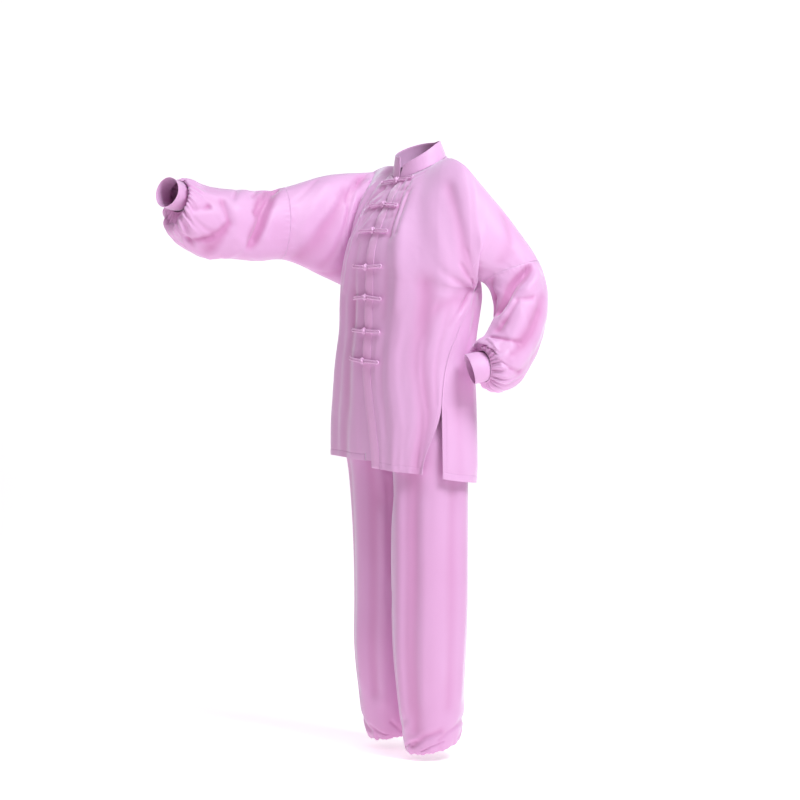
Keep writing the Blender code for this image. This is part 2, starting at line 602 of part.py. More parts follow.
def joined(parts):
    points = []
    faces = []
    count = 0
    for some, some_faces in parts:
        points.append(some)
        faces += [tuple(k + count for k in face) for face in some_faces]
        count += len(some)
    return np.vstack(points), faces


def cloth_material(name, color, roughness=0.42):
    material = bpy.data.materials.new(name)
    material.use_nodes = True
    shader = material.node_tree.nodes["Principled BSDF"]
    shader.inputs["Base Color"].default_value = (*color, 1.0)
    shader.inputs["Roughness"].default_value = roughness
    return material


def shell(name, surface, color, outward, wall=WALL):
    """A cloth piece from a surface, thickened inwards. Outward is a point outside that its nearest face looks to."""
    points, faces = surface
    mesh = bpy.data.meshes.new(name)
    mesh.from_pydata([tuple(p) for p in points], [], faces)
    work = bmesh.new()
    work.from_mesh(mesh)
    bmesh.ops.remove_doubles(work, verts=work.verts, dist=0.00005)
    bmesh.ops.recalc_face_normals(work, faces=work.faces)
    work.faces.ensure_lookup_table()
    outward = Vector(outward)
    nearest = min(work.faces, key=lambda face: (face.calc_center_median() - outward).length)
    if nearest.normal.dot(outward - nearest.calc_center_median()) < 0:
        bmesh.ops.reverse_faces(work, faces=work.faces)
    work.to_mesh(mesh)
    work.free()
    mesh.shade_smooth()
    mesh.materials.append(cloth_material(name + "_cloth", color))
    piece = bpy.data.objects.new(name, mesh)
    COLLECTION.objects.link(piece)
    thick = piece.modifiers.new("wall", "SOLIDIFY")
    thick.thickness = wall
    thick.offset = -1.0
    return piece


PANEL_COLUMNS = 11
UPPER_ROWS = 10
LOWER_ROWS = 15
ROOT_STEPS = 5
SLEEVE_AROUND = 36
SLEEVE_STEPS = 12
LEG_AROUND = 26
LEG_STEPS = 18
SIDE_NAMES = {LEFT: "left", RIGHT: "right"}

# Fastenings: height of the knot on the centre line, then how far each arm's end lies above it.
FROG_COLUMNS = ("height", "arm_right", "arm_left")
FROGS = (
    (1.372, -0.001, 0.004),
    (1.315, 0.000, -0.006),
    (1.254, 0.002, -0.004),
    (1.171, 0.005, 0.000),
    (1.103, 0.000, -0.006),
    (1.026, 0.004, -0.004),
    (0.958, 0.008, -0.004),
)
FROG_REACH = 0.050
WAIST_HEIGHT = 1.000
WAISTBAND = 0.038
FROG_SPREAD = 0.0030
CORD = 0.0019
KNOT = 0.0062
FROG_LIFT = 0.0016
BAND_WIDTH = 0.024
BAND_WALL = 0.0010

PINK = (0.80, 0.50, 0.76)
DEEP_PINK = (0.72, 0.40, 0.67)


def offset_out(points, distance):
    """Moves a grid of points out along its own normals, away from the body's middle."""
    across = np.gradient(points, axis=1)
    down = np.gradient(points, axis=0)
    normal = unit(np.cross(across, down))
    middle = np.array([0.0, -0.02, 0.0]) - points * np.array([1.0, 1.0, 0.0])
    facing = np.sign(np.sum(normal * middle, axis=-1, keepdims=True))
    return points - normal * facing * distance


def body_half(side):
    """One half of the jacket's body, cut in one from the front hem over the shoulder to the back hem."""
    parts = []
    u = np.linspace(0.0, 1.0, PANEL_COLUMNS + 1)
    arm_u = 1.0 + np.linspace(0.0, (SEAM_ALONG[side] - 0.5 * SEAM_GAP) / PANEL_SPAN, ROOT_STEPS + 1)
    upper = np.linspace(0.0, 1.0, UPPER_ROWS + 1)
    w = np.concatenate([upper, 1 + np.linspace(0.0, 1.0, LOWER_ROWS + 1)[1:]])
    if side == RIGHT:
        parts.append(grid(underlap_point(np.linspace(1.0, 0.0, 4)[None, :], w[:, None])))
    for face in (FRONT, BACK):
        parts.append(grid(sheet_point(side, face, u[None, :], w[:, None])))
        parts.append(grid(sheet_point(side, face, arm_u[None, :], upper[:, None])))
    return joined(parts)


def sleeve_surface(side):
    """The lower sleeve from its seam on the upper arm to the gathers at the cuff."""
    end = ARM_AT[side]["along"][-1]
    start = SEAM_ALONG[side] + 0.5 * SEAM_GAP
    steps = np.linspace(0.0, 1.0, SLEEVE_STEPS + 1)
    along = start + (end - start) * (1 - (1 - steps) ** 1.5)
    turn = np.linspace(0.0, 2 * np.pi, SLEEVE_AROUND, endpoint=False)
    return grid(sleeve_point(side, along[:, None], turn[None, :]), closed=True)


def cuff_surface(side):
    """The cuff: its first ring lies along the sleeve's end, and the others turn towards CUFF_TURN."""
    path, ways, tops, fronts = FRAMES[side]
    turn = np.linspace(0.0, 2 * np.pi, 24, endpoint=False)[:, None]
    middle = path[-1] + ways[-1] * CUFF_GAP
    wide, high = CUFF_RADII[side]
    rings = []
    steps = np.linspace(0.0, 1.0, 4)
    for step in steps:
        way = unit(ways[-1] + (np.array(CUFF_TURN[side]) - ways[-1]) * ease(step * 1.4))
        top = unit(tops[-1] - np.dot(tops[-1], way) * way)
        front = side * np.cross(way, top)
        size = 1 + (CUFF_FLARE - 1) * step
        rings.append(middle + (top * wide * np.cos(turn) + front * high * np.sin(turn)) * size)
        middle = middle + way * CUFF_LENGTH[side] * steps[1]
    return grid(np.array(rings), closed=True)


def collar_surface():
    """The stand-up collar, from its left end round the back of the neck to its right end."""
    share = np.linspace(0.0, 1.0, 29)[None, :]
    rise = np.linspace(0.0, 1.0, 4)[:, None]
    first = COLLAR_END + COLLAR_V[LEFT] * rise ** 1.5
    last = COLLAR_END + COLLAR_V[RIGHT] * rise ** 1.5
    angle = (-90.0 + first) + (360.0 - first - last) * share
    low = neck_ring(LEFT, angle)
    turn = np.radians(angle)
    inward = np.stack([-np.cos(turn), -np.sin(turn), 0.0 * turn], axis=-1)
    lift = 0.0012 + rise * spline(COLLAR_AT["angle"], COLLAR_AT["height"], angle)
    lean = (COLLAR_LEAN + COLLAR_LEAN_BACK * np.sin(turn)) * rise
    return grid(low + np.array([0.0, 0.0, 1.0]) * lift[..., None] + inward * lean[..., None])


def front_finder(side):
    """Works out where on a front panel a place lies, from its distance across and its height."""
    u = np.linspace(0.0, 0.62, 63)
    w = np.linspace(0.0, 2.0, 161)
    net = sheet_point(side, FRONT, u[None, :], w[:, None])
    heights = net[..., 2] + NECK_HEIGHT

    def find(x, height):
        w_at = np.array([np.interp(-height, -heights[:, k], w) for k in range(len(u))])
        x_at = np.array([np.interp(w_at[k], w, net[:, k, 0]) for k in range(len(u))])
        u_at = np.interp(side * x, side * x_at, u)
        return u_at, np.interp(u_at, u, w_at)

    return find


FIND = {side: front_finder(side) for side in (LEFT, RIGHT)}


def on_front(side, x, height, lift):
    """A point on a front panel, moved out of its cloth by a lift."""
    step = 0.004
    near = []
    for dx, dh in ((0.0, 0.0), (step, 0.0), (-step, 0.0), (0.0, step), (0.0, -step)):
        u, w = FIND[side](x + dx, height + dh)
        near.append(sheet_point(side, FRONT, u, w))
    normal = unit(np.cross(near[1] - near[2], near[3] - near[4]))
    return near[0] + normal * lift * (1 if normal[1] < 0 else -1)


def band_surface():
    """The strip along the left front's edge, made from the panel's points and moved out."""
    share = np.linspace(0.0, 1.0, 4)
    rows = np.concatenate([np.linspace(0.012, 1.0, 9), 1 + np.linspace(0.0, 0.995, 15)[1:]])
    points = []
    for w in rows:
        across = np.linspace(0.0, 0.3, 31)
        line = sheet_point(LEFT, FRONT, across, np.full(31, w))
        run = np.concatenate([[0.0], np.cumsum(np.linalg.norm(np.diff(line, axis=0), axis=1))])
        u = np.interp(share * BAND_WIDTH, run, across)
        points.append(sheet_point(LEFT, FRONT, u, np.full(len(u), w)))
    return grid(offset_out(np.array(points), BAND_WALL + 0.0006))


def hairpin(name, path, color):
    """A cord folded back on itself, as one tube along a path."""
    curve = bpy.data.curves.new(name, "CURVE")
    curve.dimensions = "3D"
    curve.bevel_depth = CORD
    curve.bevel_resolution = 1
    curve.use_fill_caps = True
    strand = curve.splines.new("POLY")
    strand.points.add(len(path) - 1)
    for point, place in zip(strand.points, path):
        point.co = (*place, 1.0)
    curve.materials.append(cloth_material(name + "_cord", color, 0.5))
    cord = bpy.data.objects.new(name, curve)
    COLLECTION.objects.link(cord)
    return cord


def frog(number, height, arm_right, arm_left):
    """One fastening: a corded arm on each front and the knot between them."""
    lift = FROG_LIFT + CORD + 0.0003
    for side, rise in ((LEFT, arm_left), (RIGHT, arm_right)):
        raised = lift + (BAND_WALL + 0.0006)
        path = []
        ends = (0.0088, FROG_REACH)
        stretches = np.linspace(ends[0], ends[1] - FROG_SPREAD, 4)
        for x in stretches:
            path.append((x, FROG_SPREAD))
        path.append((ends[1] + 0.0016, 0.0))
        for x in stretches[::-1]:
            path.append((x, -FROG_SPREAD))
        points = []
        for x, up in path:
            share = (x - ends[0]) / (ends[1] - ends[0])
            slope = rise * share
            points.append(on_front(side, side * x, height + slope + up * (0.75 + 0.25 * share), raised))
        hairpin("frog_%d_%s" % (number, SIDE_NAMES[side]), points, DEEP_PINK)
    middle = on_front(LEFT, 0.0006, height, BAND_WALL + 0.0012 + KNOT * 0.80)
    ball = bmesh.new()
    bmesh.ops.create_uvsphere(ball, u_segments=8, v_segments=5, radius=KNOT)
    for vert in ball.verts:
        vert.co.y *= 0.80
        vert.co += Vector(middle)
    mesh = bpy.data.meshes.new("frog_%d_knot" % number)
    ball.to_mesh(mesh)
    ball.free()
    mesh.shade_smooth()
    mesh.materials.append(cloth_material("frog_%d_knot_cord" % number, DEEP_PINK, 0.5))
    COLLECTION.objects.link(bpy.data.objects.new(mesh.name, mesh))


def leg_surface(side):
    order = len(LEG_AT["height"]) - 1
    steps = np.linspace(0.0, 1.0, LEG_STEPS + 1) ** 1.25 * order
    share = np.linspace(0.0, 1.0, LEG_AROUND + 1)
    return grid(leg_point(side, steps[:, None], share[None, :]))


def waistband_surface():
    turn = np.linspace(0.0, 2 * np.pi, 28, endpoint=False)[None, :, None]
    steps = np.linspace(0.0, 1.0, 3)[:, None, None]
    size = 1 + 0.012 * np.cos(14 * turn)
    x = LEG_AT["half"][-1] * np.cos(turn) * size
    y = np.where(np.sin(turn) < 0, LEG_AT["front"][-1], LEG_AT["back"][-1]) * np.sin(turn) * size
    top = placed(x, y + LEG_AT["left_y"][-1], WAIST_HEIGHT + 0.0008 + WAISTBAND * steps)
    return grid(top[..., 0, :], closed=True)


for old in list(bpy.data.objects):
    bpy.data.objects.remove(old, do_unlink=True)
COLLECTION = bpy.data.collections.new("tai_chi_uniform")
bpy.context.scene.collection.children.link(COLLECTION)

for side in (LEFT, RIGHT):
    label = SIDE_NAMES[side]
    shell("body_" + label, body_half(side), PINK, (side * 0.10, -1.0, -0.40))
    shell("sleeve_" + label, sleeve_surface(side), PINK, FRAMES[side][0][4] + np.array([0.0, 0.0, 1.0]))
    shell("cuff_" + label, cuff_surface(side), PINK, FRAMES[side][0][-1] + np.array([0.0, 0.0, 1.0]))
    shell("leg_" + label, leg_surface(side), PINK, (side * 1.0, -0.03, -0.90))
shell("collar", collar_surface(), PINK, (0.0, 1.0, 0.03))
shell("front_band", band_surface(), PINK, (0.01, -1.0, -0.30), BAND_WALL)
shell("waistband", waistband_surface(), PINK, (0.0, -1.0, -0.39))
for number, row in enumerate(FROGS, 1):
    frog(number, **dict(zip(FROG_COLUMNS, row)))
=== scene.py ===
"""The look of a tai chi uniform as worn: thin soft cloth with its folds, gathers, seams, stitching and cord fastenings.

The origin is the middle of the neck opening's base. +X is the wearer's left, -Y the front and +Z up. Metres.
Each cloth piece is a thin shell on the form of its CAD solid, from the same sizes, with finer folds of its own.
"""

import math

import bmesh
import bpy
import numpy as np
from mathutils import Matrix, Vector


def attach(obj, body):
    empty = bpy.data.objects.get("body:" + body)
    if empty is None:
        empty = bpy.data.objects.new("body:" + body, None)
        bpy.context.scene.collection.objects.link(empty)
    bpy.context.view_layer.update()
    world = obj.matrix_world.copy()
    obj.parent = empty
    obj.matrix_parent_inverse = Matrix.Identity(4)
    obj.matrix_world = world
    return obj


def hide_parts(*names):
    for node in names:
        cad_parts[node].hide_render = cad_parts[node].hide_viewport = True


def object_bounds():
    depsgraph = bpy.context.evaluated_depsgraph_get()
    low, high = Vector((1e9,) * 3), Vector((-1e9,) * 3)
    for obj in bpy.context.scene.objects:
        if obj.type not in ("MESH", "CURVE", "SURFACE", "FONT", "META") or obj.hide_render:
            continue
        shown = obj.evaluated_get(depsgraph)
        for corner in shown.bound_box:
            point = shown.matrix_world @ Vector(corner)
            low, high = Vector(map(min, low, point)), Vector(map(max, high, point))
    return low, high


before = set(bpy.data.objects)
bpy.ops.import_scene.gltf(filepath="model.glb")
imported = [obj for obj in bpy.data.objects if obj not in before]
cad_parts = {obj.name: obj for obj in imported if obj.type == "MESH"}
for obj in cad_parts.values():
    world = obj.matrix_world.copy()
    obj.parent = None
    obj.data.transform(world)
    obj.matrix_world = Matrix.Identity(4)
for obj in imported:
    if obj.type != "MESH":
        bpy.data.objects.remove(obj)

CAD_BOX = [list(corner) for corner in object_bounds()]

LEFT = 1
RIGHT = -1
FRONT = -1
BACK = 1

NECK_HEIGHT = 1.415
WALL = 0.0015
SEAM_GAP = 0.0005

# The jacket's body below the arms, as half sizes of a ring around the middle. Seam angles are in degrees from the side
# of the body, with -90 at the centre front and 90 at the centre back.
TORSO_COLUMNS = ("height", "left", "right", "front", "back", "middle_y", "seam_left", "seam_right")
TORSO = (
    (0.660, 0.194, 0.230, 0.131, 0.111, -0.030, -22.0, 2.0),
    (0.700, 0.194, 0.229, 0.131, 0.111, -0.030, -22.0, 2.0),
    (0.800, 0.192, 0.220, 0.134, 0.111, -0.029, -22.0, 2.0),
    (0.880, 0.188, 0.210, 0.136, 0.110, -0.028, -21.0, 1.0),
    (0.960, 0.183, 0.202, 0.137, 0.108, -0.026, -15.0, 0.0),
    (1.030, 0.188, 0.195, 0.135, 0.106, -0.022, -6.0, -2.0),
    (1.100, 0.193, 0.195, 0.135, 0.114, -0.020, 6.0, -4.0),
    (1.160, 0.190, 0.190, 0.133, 0.124, -0.020, 12.0, -5.0),
)
RING_POWER = 0.92
CHEST_HEIGHT = 1.145
ARMPIT_RISE = {LEFT: -0.030, RIGHT: -0.018}

# Heights of the hem around the body. The raised arm lifts the right front.
HEM_COLUMNS = ("angle", "left", "right")
HEM = (
    (-100.0, 0.719, 0.732),
    (-90.0, 0.718, 0.733),
    (-60.0, 0.709, 0.741),
    (-40.0, 0.703, 0.743),
    (-22.0, 0.694, 0.742),
    (30.0, 0.683, 0.720),
    (90.0, 0.690, 0.690),
)
VENT_TOP = 0.863
VENT_SPREAD = 18.0
EDGE_SWING = 7.0
EDGE_SWING_FROM = 0.950
UNDERLAP = 9.0
UNDERLAP_INSET = 0.0034

# The neck opening's base, where the collar is sewn on.
NECK_SIDE = 0.066
NECK_FRONT = 0.058
NECK_BACK = 0.062
NECK_Y = 0.002
NECK_LIFT = 0.030
NECK_BASE = 1.410
NECK_SHARE = 0.45

SHOULDER_TIP = {LEFT: (0.167, 0.010, 1.384), RIGHT: (-0.168, 0.002, 1.414)}
SHOULDER_ARCH = {LEFT: 0.021, RIGHT: 0.010}
ARM_BLEND_FROM = 0.30

# Arm sections from the shoulder to the cuff. Each has its middle, then how far the cloth stands off it at the outside
# or top, at the underside, at the front and at the back. Lean carries the underside further along the arm.
ARM_COLUMNS = ("along", "x", "y", "height", "top", "under", "front", "back", "lean")
ARM = {
    LEFT: (
        (0.10, 0.200, 0.048, 1.222, 0.068, 0.112, 0.060, 0.060, 0.000),
        (0.17, 0.231, 0.092, 1.162, 0.057, 0.080, 0.056, 0.056, 0.000),
        (0.28, 0.256, 0.080, 1.060, 0.062, 0.060, 0.061, 0.056, 0.000),
        (0.36, 0.252, 0.048, 0.985, 0.064, 0.061, 0.062, 0.056, 0.000),
        (0.42, 0.242, 0.012, 0.948, 0.064, 0.062, 0.060, 0.056, 0.000),
        (0.45, 0.241, -0.010, 0.944, 0.050, 0.047, 0.042, 0.040, 0.000),
        (0.46, 0.240, -0.016, 0.944, 0.038, 0.038, 0.029, 0.029, 0.000),
    ),
    RIGHT: (
        (0.11, -0.192, -0.120, 1.283, 0.117, 0.124, 0.062, 0.058, 0.000),
        (0.23, -0.220, -0.230, 1.281, 0.084, 0.084, 0.055, 0.055, 0.000),
        (0.30, -0.236, -0.300, 1.272, 0.081, 0.082, 0.058, 0.058, 0.000),
        (0.37, -0.252, -0.370, 1.272, 0.083, 0.080, 0.058, 0.058, 0.006),
        (0.42, -0.262, -0.415, 1.272, 0.086, 0.074, 0.058, 0.056, 0.015),
        (0.455, -0.270, -0.450, 1.298, 0.067, 0.064, 0.055, 0.052, 0.030),
        (0.475, -0.272, -0.476, 1.325, 0.044, 0.054, 0.046, 0.044, 0.022),
        (0.482, -0.270, -0.483, 1.332, 0.037, 0.037, 0.034, 0.034, 0.000),
    ),
}
# The raised arm's rings stand upright, whatever way its middle line bends.
ARM_SLOPES = {LEFT: (1.0, 1.0, 1.0), RIGHT: (1.0, 1.0, 0.0)}
SEAM_ALONG = {LEFT: 0.17, RIGHT: 0.23}
ROOT_FRONT = {LEFT: 0.058, RIGHT: 0.062}
ROOT_BACK = {LEFT: 0.066, RIGHT: 0.056}
ROOT_REACH_FRONT = {LEFT: 0.000, RIGHT: 0.070}
ROOT_REACH_BACK = {LEFT: 0.020, RIGHT: 0.000}

CUFF_LENGTH = {LEFT: 0.030, RIGHT: 0.040}
CUFF_TURN = {LEFT: (-0.45, -0.80, -0.25), RIGHT: (0.30, -0.92, 0.20)}
CUFF_RADII = {LEFT: (0.0360, 0.0262), RIGHT: (0.0340, 0.0312)}
CUFF_FLARE = 1.03
CUFF_GAP = 0.0016

# How high the collar stands, by the angle round the neck from its left side.
COLLAR_COLUMNS = ("angle", "height")
COLLAR = ((-90.0, 0.029), (-50.0, 0.036), (0.0, 0.041), (90.0, 0.031), (180.0, 0.041), (235.0, 0.047), (270.0, 0.050))
COLLAR_LEAN = 0.010
COLLAR_LEAN_BACK = 0.005
COLLAR_V = {LEFT: 5.0, RIGHT: 4.0}
COLLAR_END = 0.8

PANEL_SPAN = 0.29
GATHERS = 18
GATHER_DEPTH = 0.0022
ANKLE_GATHERS = 13
ANKLE_GATHER_DEPTH = 0.0036

# Trouser legs. Up to the crotch the middle of a leg's ring is its own. Above it the rings run into one another at the
# centre seam.
LEG_COLUMNS = ("height", "half", "front", "back", "x", "left_y", "right_y", "tilt", "right_lift")
LEG = (
    (0.092, 0.046, 0.050, 0.048, 0.0865, -0.026, 0.004, 0.26, 0.008),
    (0.085, 0.056, 0.060, 0.058, 0.0865, -0.026, 0.004, 0.28, 0.008),
    (0.094, 0.062, 0.067, 0.066, 0.0865, -0.027, 0.001, 0.28, 0.008),
    (0.124, 0.067, 0.073, 0.071, 0.0865, -0.029, -0.004, 0.24, 0.007),
    (0.186, 0.073, 0.080, 0.076, 0.0865, -0.032, -0.011, 0.12, 0.004),
    (0.300, 0.082, 0.090, 0.085, 0.0868, -0.036, -0.014, 0.03, 0.000),
    (0.414, 0.085, 0.094, 0.090, 0.0868, -0.036, -0.010, 0.0, 0.000),
    (0.560, 0.0855, 0.095, 0.091, 0.0868, -0.035, -0.012, 0.0, 0.000),
    (0.685, 0.0858, 0.096, 0.084, 0.0868, -0.030, -0.020, 0.0, 0.000),
    (0.750, 0.0868, 0.103, 0.085, 0.0874, -0.028, -0.023, 0.0, 0.000),
    (0.775, 0.0880, 0.105, 0.085, 0.0885, -0.026, -0.024, 0.0, 0.000),
    (0.800, 0.1060, 0.107, 0.084, 0.0700, -0.025, -0.025, 0.0, 0.000),
    (0.840, 0.1400, 0.108, 0.084, 0.0340, -0.025, -0.025, 0.0, 0.000),
    (0.900, 0.1640, 0.108, 0.086, 0.0000, -0.024, -0.024, 0.0, 0.000),
    (0.960, 0.1540, 0.104, 0.082, 0.0000, -0.022, -0.022, 0.0, 0.000),
    (1.000, 0.1450, 0.100, 0.080, 0.0000, -0.020, -0.020, 0.0, 0.000),
)

# Folds: a line through three places of a piece's own cloth, how far it stands out or, below zero, in, and how wide it
# is to each side. A body panel's places are u and w of sheet_point(), a sleeve's are its distance along the arm and its
# turn, and a leg's are its row in the table and its share of the way round.
FOLD_COLUMNS = ("a1", "b1", "a2", "b2", "a3", "b3", "out", "width")
BODY_FOLDS = {
    (LEFT, FRONT): (
        (0.19, 0.21, 0.20, 0.44, 0.18, 0.65, -0.0035, 0.011),
        (0.28, 0.29, 0.26, 0.48, 0.24, 0.64, -0.0030, 0.010),
        (0.27, 0.55, 0.29, 1.12, 0.43, 1.98, 0.0060, 0.026),
        (0.50, 1.00, 0.72, 1.48, 0.88, 1.98, -0.0070, 0.028),
        (0.52, 0.44, 0.61, 0.70, 0.72, 0.98, 0.0045, 0.022),
        (0.70, 0.36, 0.79, 0.58, 0.87, 0.80, -0.0050, 0.018),
        (0.94, 0.97, 0.80, 0.90, 0.66, 0.86, -0.0045, 0.014),
        (0.95, 1.06, 0.82, 1.05, 0.68, 1.10, -0.0045, 0.014),
        (1.30, 0.25, 1.42, 0.40, 1.50, 0.62, -0.0045, 0.016),
        (1.10, 0.62, 1.26, 0.74, 1.42, 0.80, -0.0055, 0.016),
    ),
    (LEFT, BACK): (
        (0.18, 0.40, 0.24, 1.00, 0.20, 1.70, 0.0050, 0.026),
        (0.42, 0.55, 0.46, 1.20, 0.40, 1.98, -0.0060, 0.026),
        (0.66, 0.80, 0.70, 1.30, 0.64, 1.90, 0.0055, 0.026),
        (0.96, 0.70, 0.76, 0.62, 0.52, 0.50, -0.0050, 0.018),
        (0.98, 1.04, 0.84, 1.12, 0.72, 1.26, -0.0045, 0.016),
        (1.12, 0.55, 1.28, 0.62, 1.44, 0.58, -0.0045, 0.016),
    ),
    (RIGHT, FRONT): (
        (0.14, 0.16, 0.24, 0.28, 0.34, 0.42, -0.0035, 0.011),
        (0.12, 0.36, 0.18, 0.46, 0.28, 0.60, -0.0030, 0.011),
        (0.39, 0.70, 0.40, 1.33, 0.49, 1.98, 0.0070, 0.024),
        (0.17, 1.10, 0.18, 1.68, 0.25, 1.98, -0.0055, 0.018),
        (0.62, 1.02, 0.70, 1.50, 0.74, 1.98, -0.0060, 0.026),
        (1.10, 0.16, 1.17, 0.34, 1.22, 0.54, -0.0090, 0.014),
        (1.04, 0.20, 1.09, 0.38, 1.12, 0.56, 0.0060, 0.014),
        (1.28, 0.30, 1.53, 0.54, 1.68, 0.84, -0.0070, 0.022),
        (1.46, 0.20, 1.60, 0.36, 1.72, 0.58, 0.0045, 0.018),
    ),
    (RIGHT, BACK): (
        (0.22, 0.45, 0.20, 1.10, 0.26, 1.80, 0.0050, 0.026),
        (0.46, 0.90, 0.44, 1.40, 0.52, 1.98, -0.0065, 0.026),
        (0.72, 0.95, 0.70, 1.40, 0.78, 1.92, 0.0060, 0.028),
        (0.98, 0.40, 0.72, 0.52, 0.44, 0.72, -0.0065, 0.020),
        (0.98, 0.66, 0.78, 0.76, 0.56, 0.98, -0.0055, 0.018),
        (1.15, 0.30, 1.38, 0.44, 1.62, 0.50, -0.0055, 0.018),
        (1.10, 0.64, 1.36, 0.72, 1.66, 0.80, -0.0060, 0.020),
    ),
}
SLEEVE_FOLDS = {
    LEFT: (
        (0.18, 1.25, 0.225, 2.06, 0.285, 2.62, -0.0080, 0.014),
        (0.20, 1.00, 0.250, 1.72, 0.300, 2.20, 0.0050, 0.014),
        (0.25, 1.70, 0.290, 2.05, 0.340, 2.30, -0.0060, 0.012),
        (0.25, 0.85, 0.290, 1.05, 0.350, 1.30, -0.0045, 0.016),
        (0.24, 2.90, 0.290, 3.14, 0.330, 3.60, -0.0060, 0.014),
        (0.20, 4.20, 0.260, 4.60, 0.340, 4.70, -0.0050, 0.016),
        (0.24, 5.60, 0.300, 5.40, 0.380, 5.55, -0.0045, 0.018),
    ),
    RIGHT: (
        (0.245, 0.14, 0.290, 1.20, 0.325, 2.10, -0.0080, 0.014),
        (0.262, 0.05, 0.300, 0.62, 0.312, 1.20, -0.0045, 0.011),
        (0.415, 2.50, 0.400, 2.10, 0.375, 1.60, -0.0050, 0.014),
        (0.330, 0.30, 0.360, 1.10, 0.370, 1.90, 0.0040, 0.020),
        (0.250, 5.90, 0.290, 5.00, 0.310, 4.20, -0.0060, 0.018),
        (0.340, 5.80, 0.370, 5.00, 0.400, 4.10, -0.0050, 0.016),
        (0.280, 3.60, 0.330, 3.20, 0.390, 3.00, -0.0040, 0.016),
    ),
}
LEG_FOLDS = {
    LEFT: (
        (9.6, 0.225, 6.7, 0.255, 3.6, 0.226, 0.0045, 0.018),
        (9.4, 0.315, 6.7, 0.325, 3.4, 0.305, -0.0055, 0.018),
        (8.0, 0.420, 6.4, 0.400, 4.8, 0.410, 0.0035, 0.020),
        (2.6, 0.265, 3.1, 0.350, 3.2, 0.430, -0.0050, 0.010),
        (2.8, 0.120, 3.4, 0.160, 3.7, 0.240, -0.0040, 0.010),
        (9.0, 0.620, 6.8, 0.640, 4.2, 0.620, -0.0055, 0.022),
        (8.6, 0.780, 6.2, 0.760, 4.0, 0.780, 0.0050, 0.022),
        (2.7, 0.700, 3.2, 0.640, 3.3, 0.560, -0.0045, 0.012),
        (9.4, 0.080, 8.4, 0.110, 7.6, 0.160, -0.0045, 0.014),
    ),
    RIGHT: (
        (9.2, 0.225, 7.0, 0.235, 4.4, 0.250, 0.0045, 0.018),
        (9.0, 0.160, 6.8, 0.172, 4.2, 0.178, -0.0050, 0.016),
        (8.2, 0.120, 6.0, 0.130, 3.9, 0.138, 0.0035, 0.014),
        (9.0, 0.380, 6.4, 0.360, 4.0, 0.370, -0.0050, 0.022),
        (9.4, 0.080, 8.4, 0.100, 7.6, 0.128, -0.0050, 0.014),
        (8.8, 0.640, 6.6, 0.610, 4.4, 0.630, -0.0055, 0.022),
        (8.4, 0.760, 6.4, 0.770, 4.4, 0.750, 0.0045, 0.022),
        (2.7, 0.250, 3.2, 0.330, 3.4, 0.420, -0.0045, 0.012),
        (2.8, 0.620, 3.2, 0.700, 3.3, 0.780, -0.0045, 0.012),
    ),
}


def reader(columns, rows):
    """A table as a name for each column, with one array each."""
    return {name: np.array([row[i] for row in rows], float) for i, name in enumerate(columns)}


def spline(xs, ys, at):
    """A smooth curve through rows of numbers or points, at one place or many."""
    xs = np.asarray(xs, float)
    ys = np.asarray(ys, float)
    at = np.clip(np.asarray(at, float), xs[0], xs[-1])
    slopes = np.gradient(ys, xs, axis=0)
    i = np.clip(np.searchsorted(xs, at) - 1, 0, len(xs) - 2)
    width = xs[i + 1] - xs[i]
    t = (at - xs[i]) / width
    more = (Ellipsis,) + (None,) * (ys.ndim - 1)
    t = t[more]
    width = width[more]
    lower = (1 + 2 * t) * (1 - t) ** 2 * ys[i] + t * (1 - t) ** 2 * width * slopes[i]
    upper = t * t * (3 - 2 * t) * ys[i + 1] + t * t * (t - 1) * width * slopes[i + 1]
    return lower + upper


def spline_each(xs, stack, at):
    """As spline(), where each place of an array has a row of points of its own."""
    xs = np.asarray(xs, float)
    at = np.clip(at, xs[0], xs[-1])
    slopes = np.gradient(stack, xs, axis=0)
    i = np.clip(np.searchsorted(xs, at) - 1, 0, len(xs) - 2)
    width = (xs[i + 1] - xs[i])[..., None]
    t = (at - xs[i])[..., None] / width
    pick = i[None, ..., None]
    y0, m0 = (np.take_along_axis(values, pick, 0)[0] for values in (stack, slopes))
    y1, m1 = (np.take_along_axis(values, pick + 1, 0)[0] for values in (stack, slopes))
    lower = (1 + 2 * t) * (1 - t) ** 2 * y0 + t * (1 - t) ** 2 * width * m0
    return lower + t * t * (3 - 2 * t) * y1 + t * t * (t - 1) * width * m1


def ease(t):
    t = np.clip(t, 0.0, 1.0)
    return t * t * (3 - 2 * t)


def unit(v):
    v = np.asarray(v, float)
    return v / np.linalg.norm(v, axis=-1, keepdims=True)


def placed(x, y, height):
    """World points from a place over the floor and a height above the soles."""
    x, y, height = np.broadcast_arrays(x, y, height)
    return np.stack([x, y, height - NECK_HEIGHT], axis=-1)


TORSO_AT = reader(TORSO_COLUMNS, TORSO)
HEM_AT = reader(HEM_COLUMNS, HEM)
LEG_AT = reader(LEG_COLUMNS, LEG)
COLLAR_AT = reader(COLLAR_COLUMNS, COLLAR)
ARM_AT = {side: reader(ARM_COLUMNS, rows) for side, rows in ARM.items()}


def torso(column, height):
    return spline(TORSO_AT["height"], TORSO_AT[column], height)


def torso_ring(side, height, angle):
    """The body's cloth at a height and at an angle in degrees from the side."""
    height, angle = np.broadcast_arrays(np.asarray(height, float), np.asarray(angle, float))
    turn = np.radians(angle)
    across = np.cos(turn)
    along = np.sin(turn)
    half = torso("left" if side == LEFT else "right", height)
    depth = np.where(along < 0, torso("front", height), torso("back", height))
    x = side * half * np.sign(across) * np.abs(across) ** RING_POWER
    y = torso("middle_y", height) + depth * np.sign(along) * np.abs(along) ** RING_POWER
    return placed(x, y, height)


def seam_angle(side, height):
    return torso("seam_left" if side == LEFT else "seam_right", height)


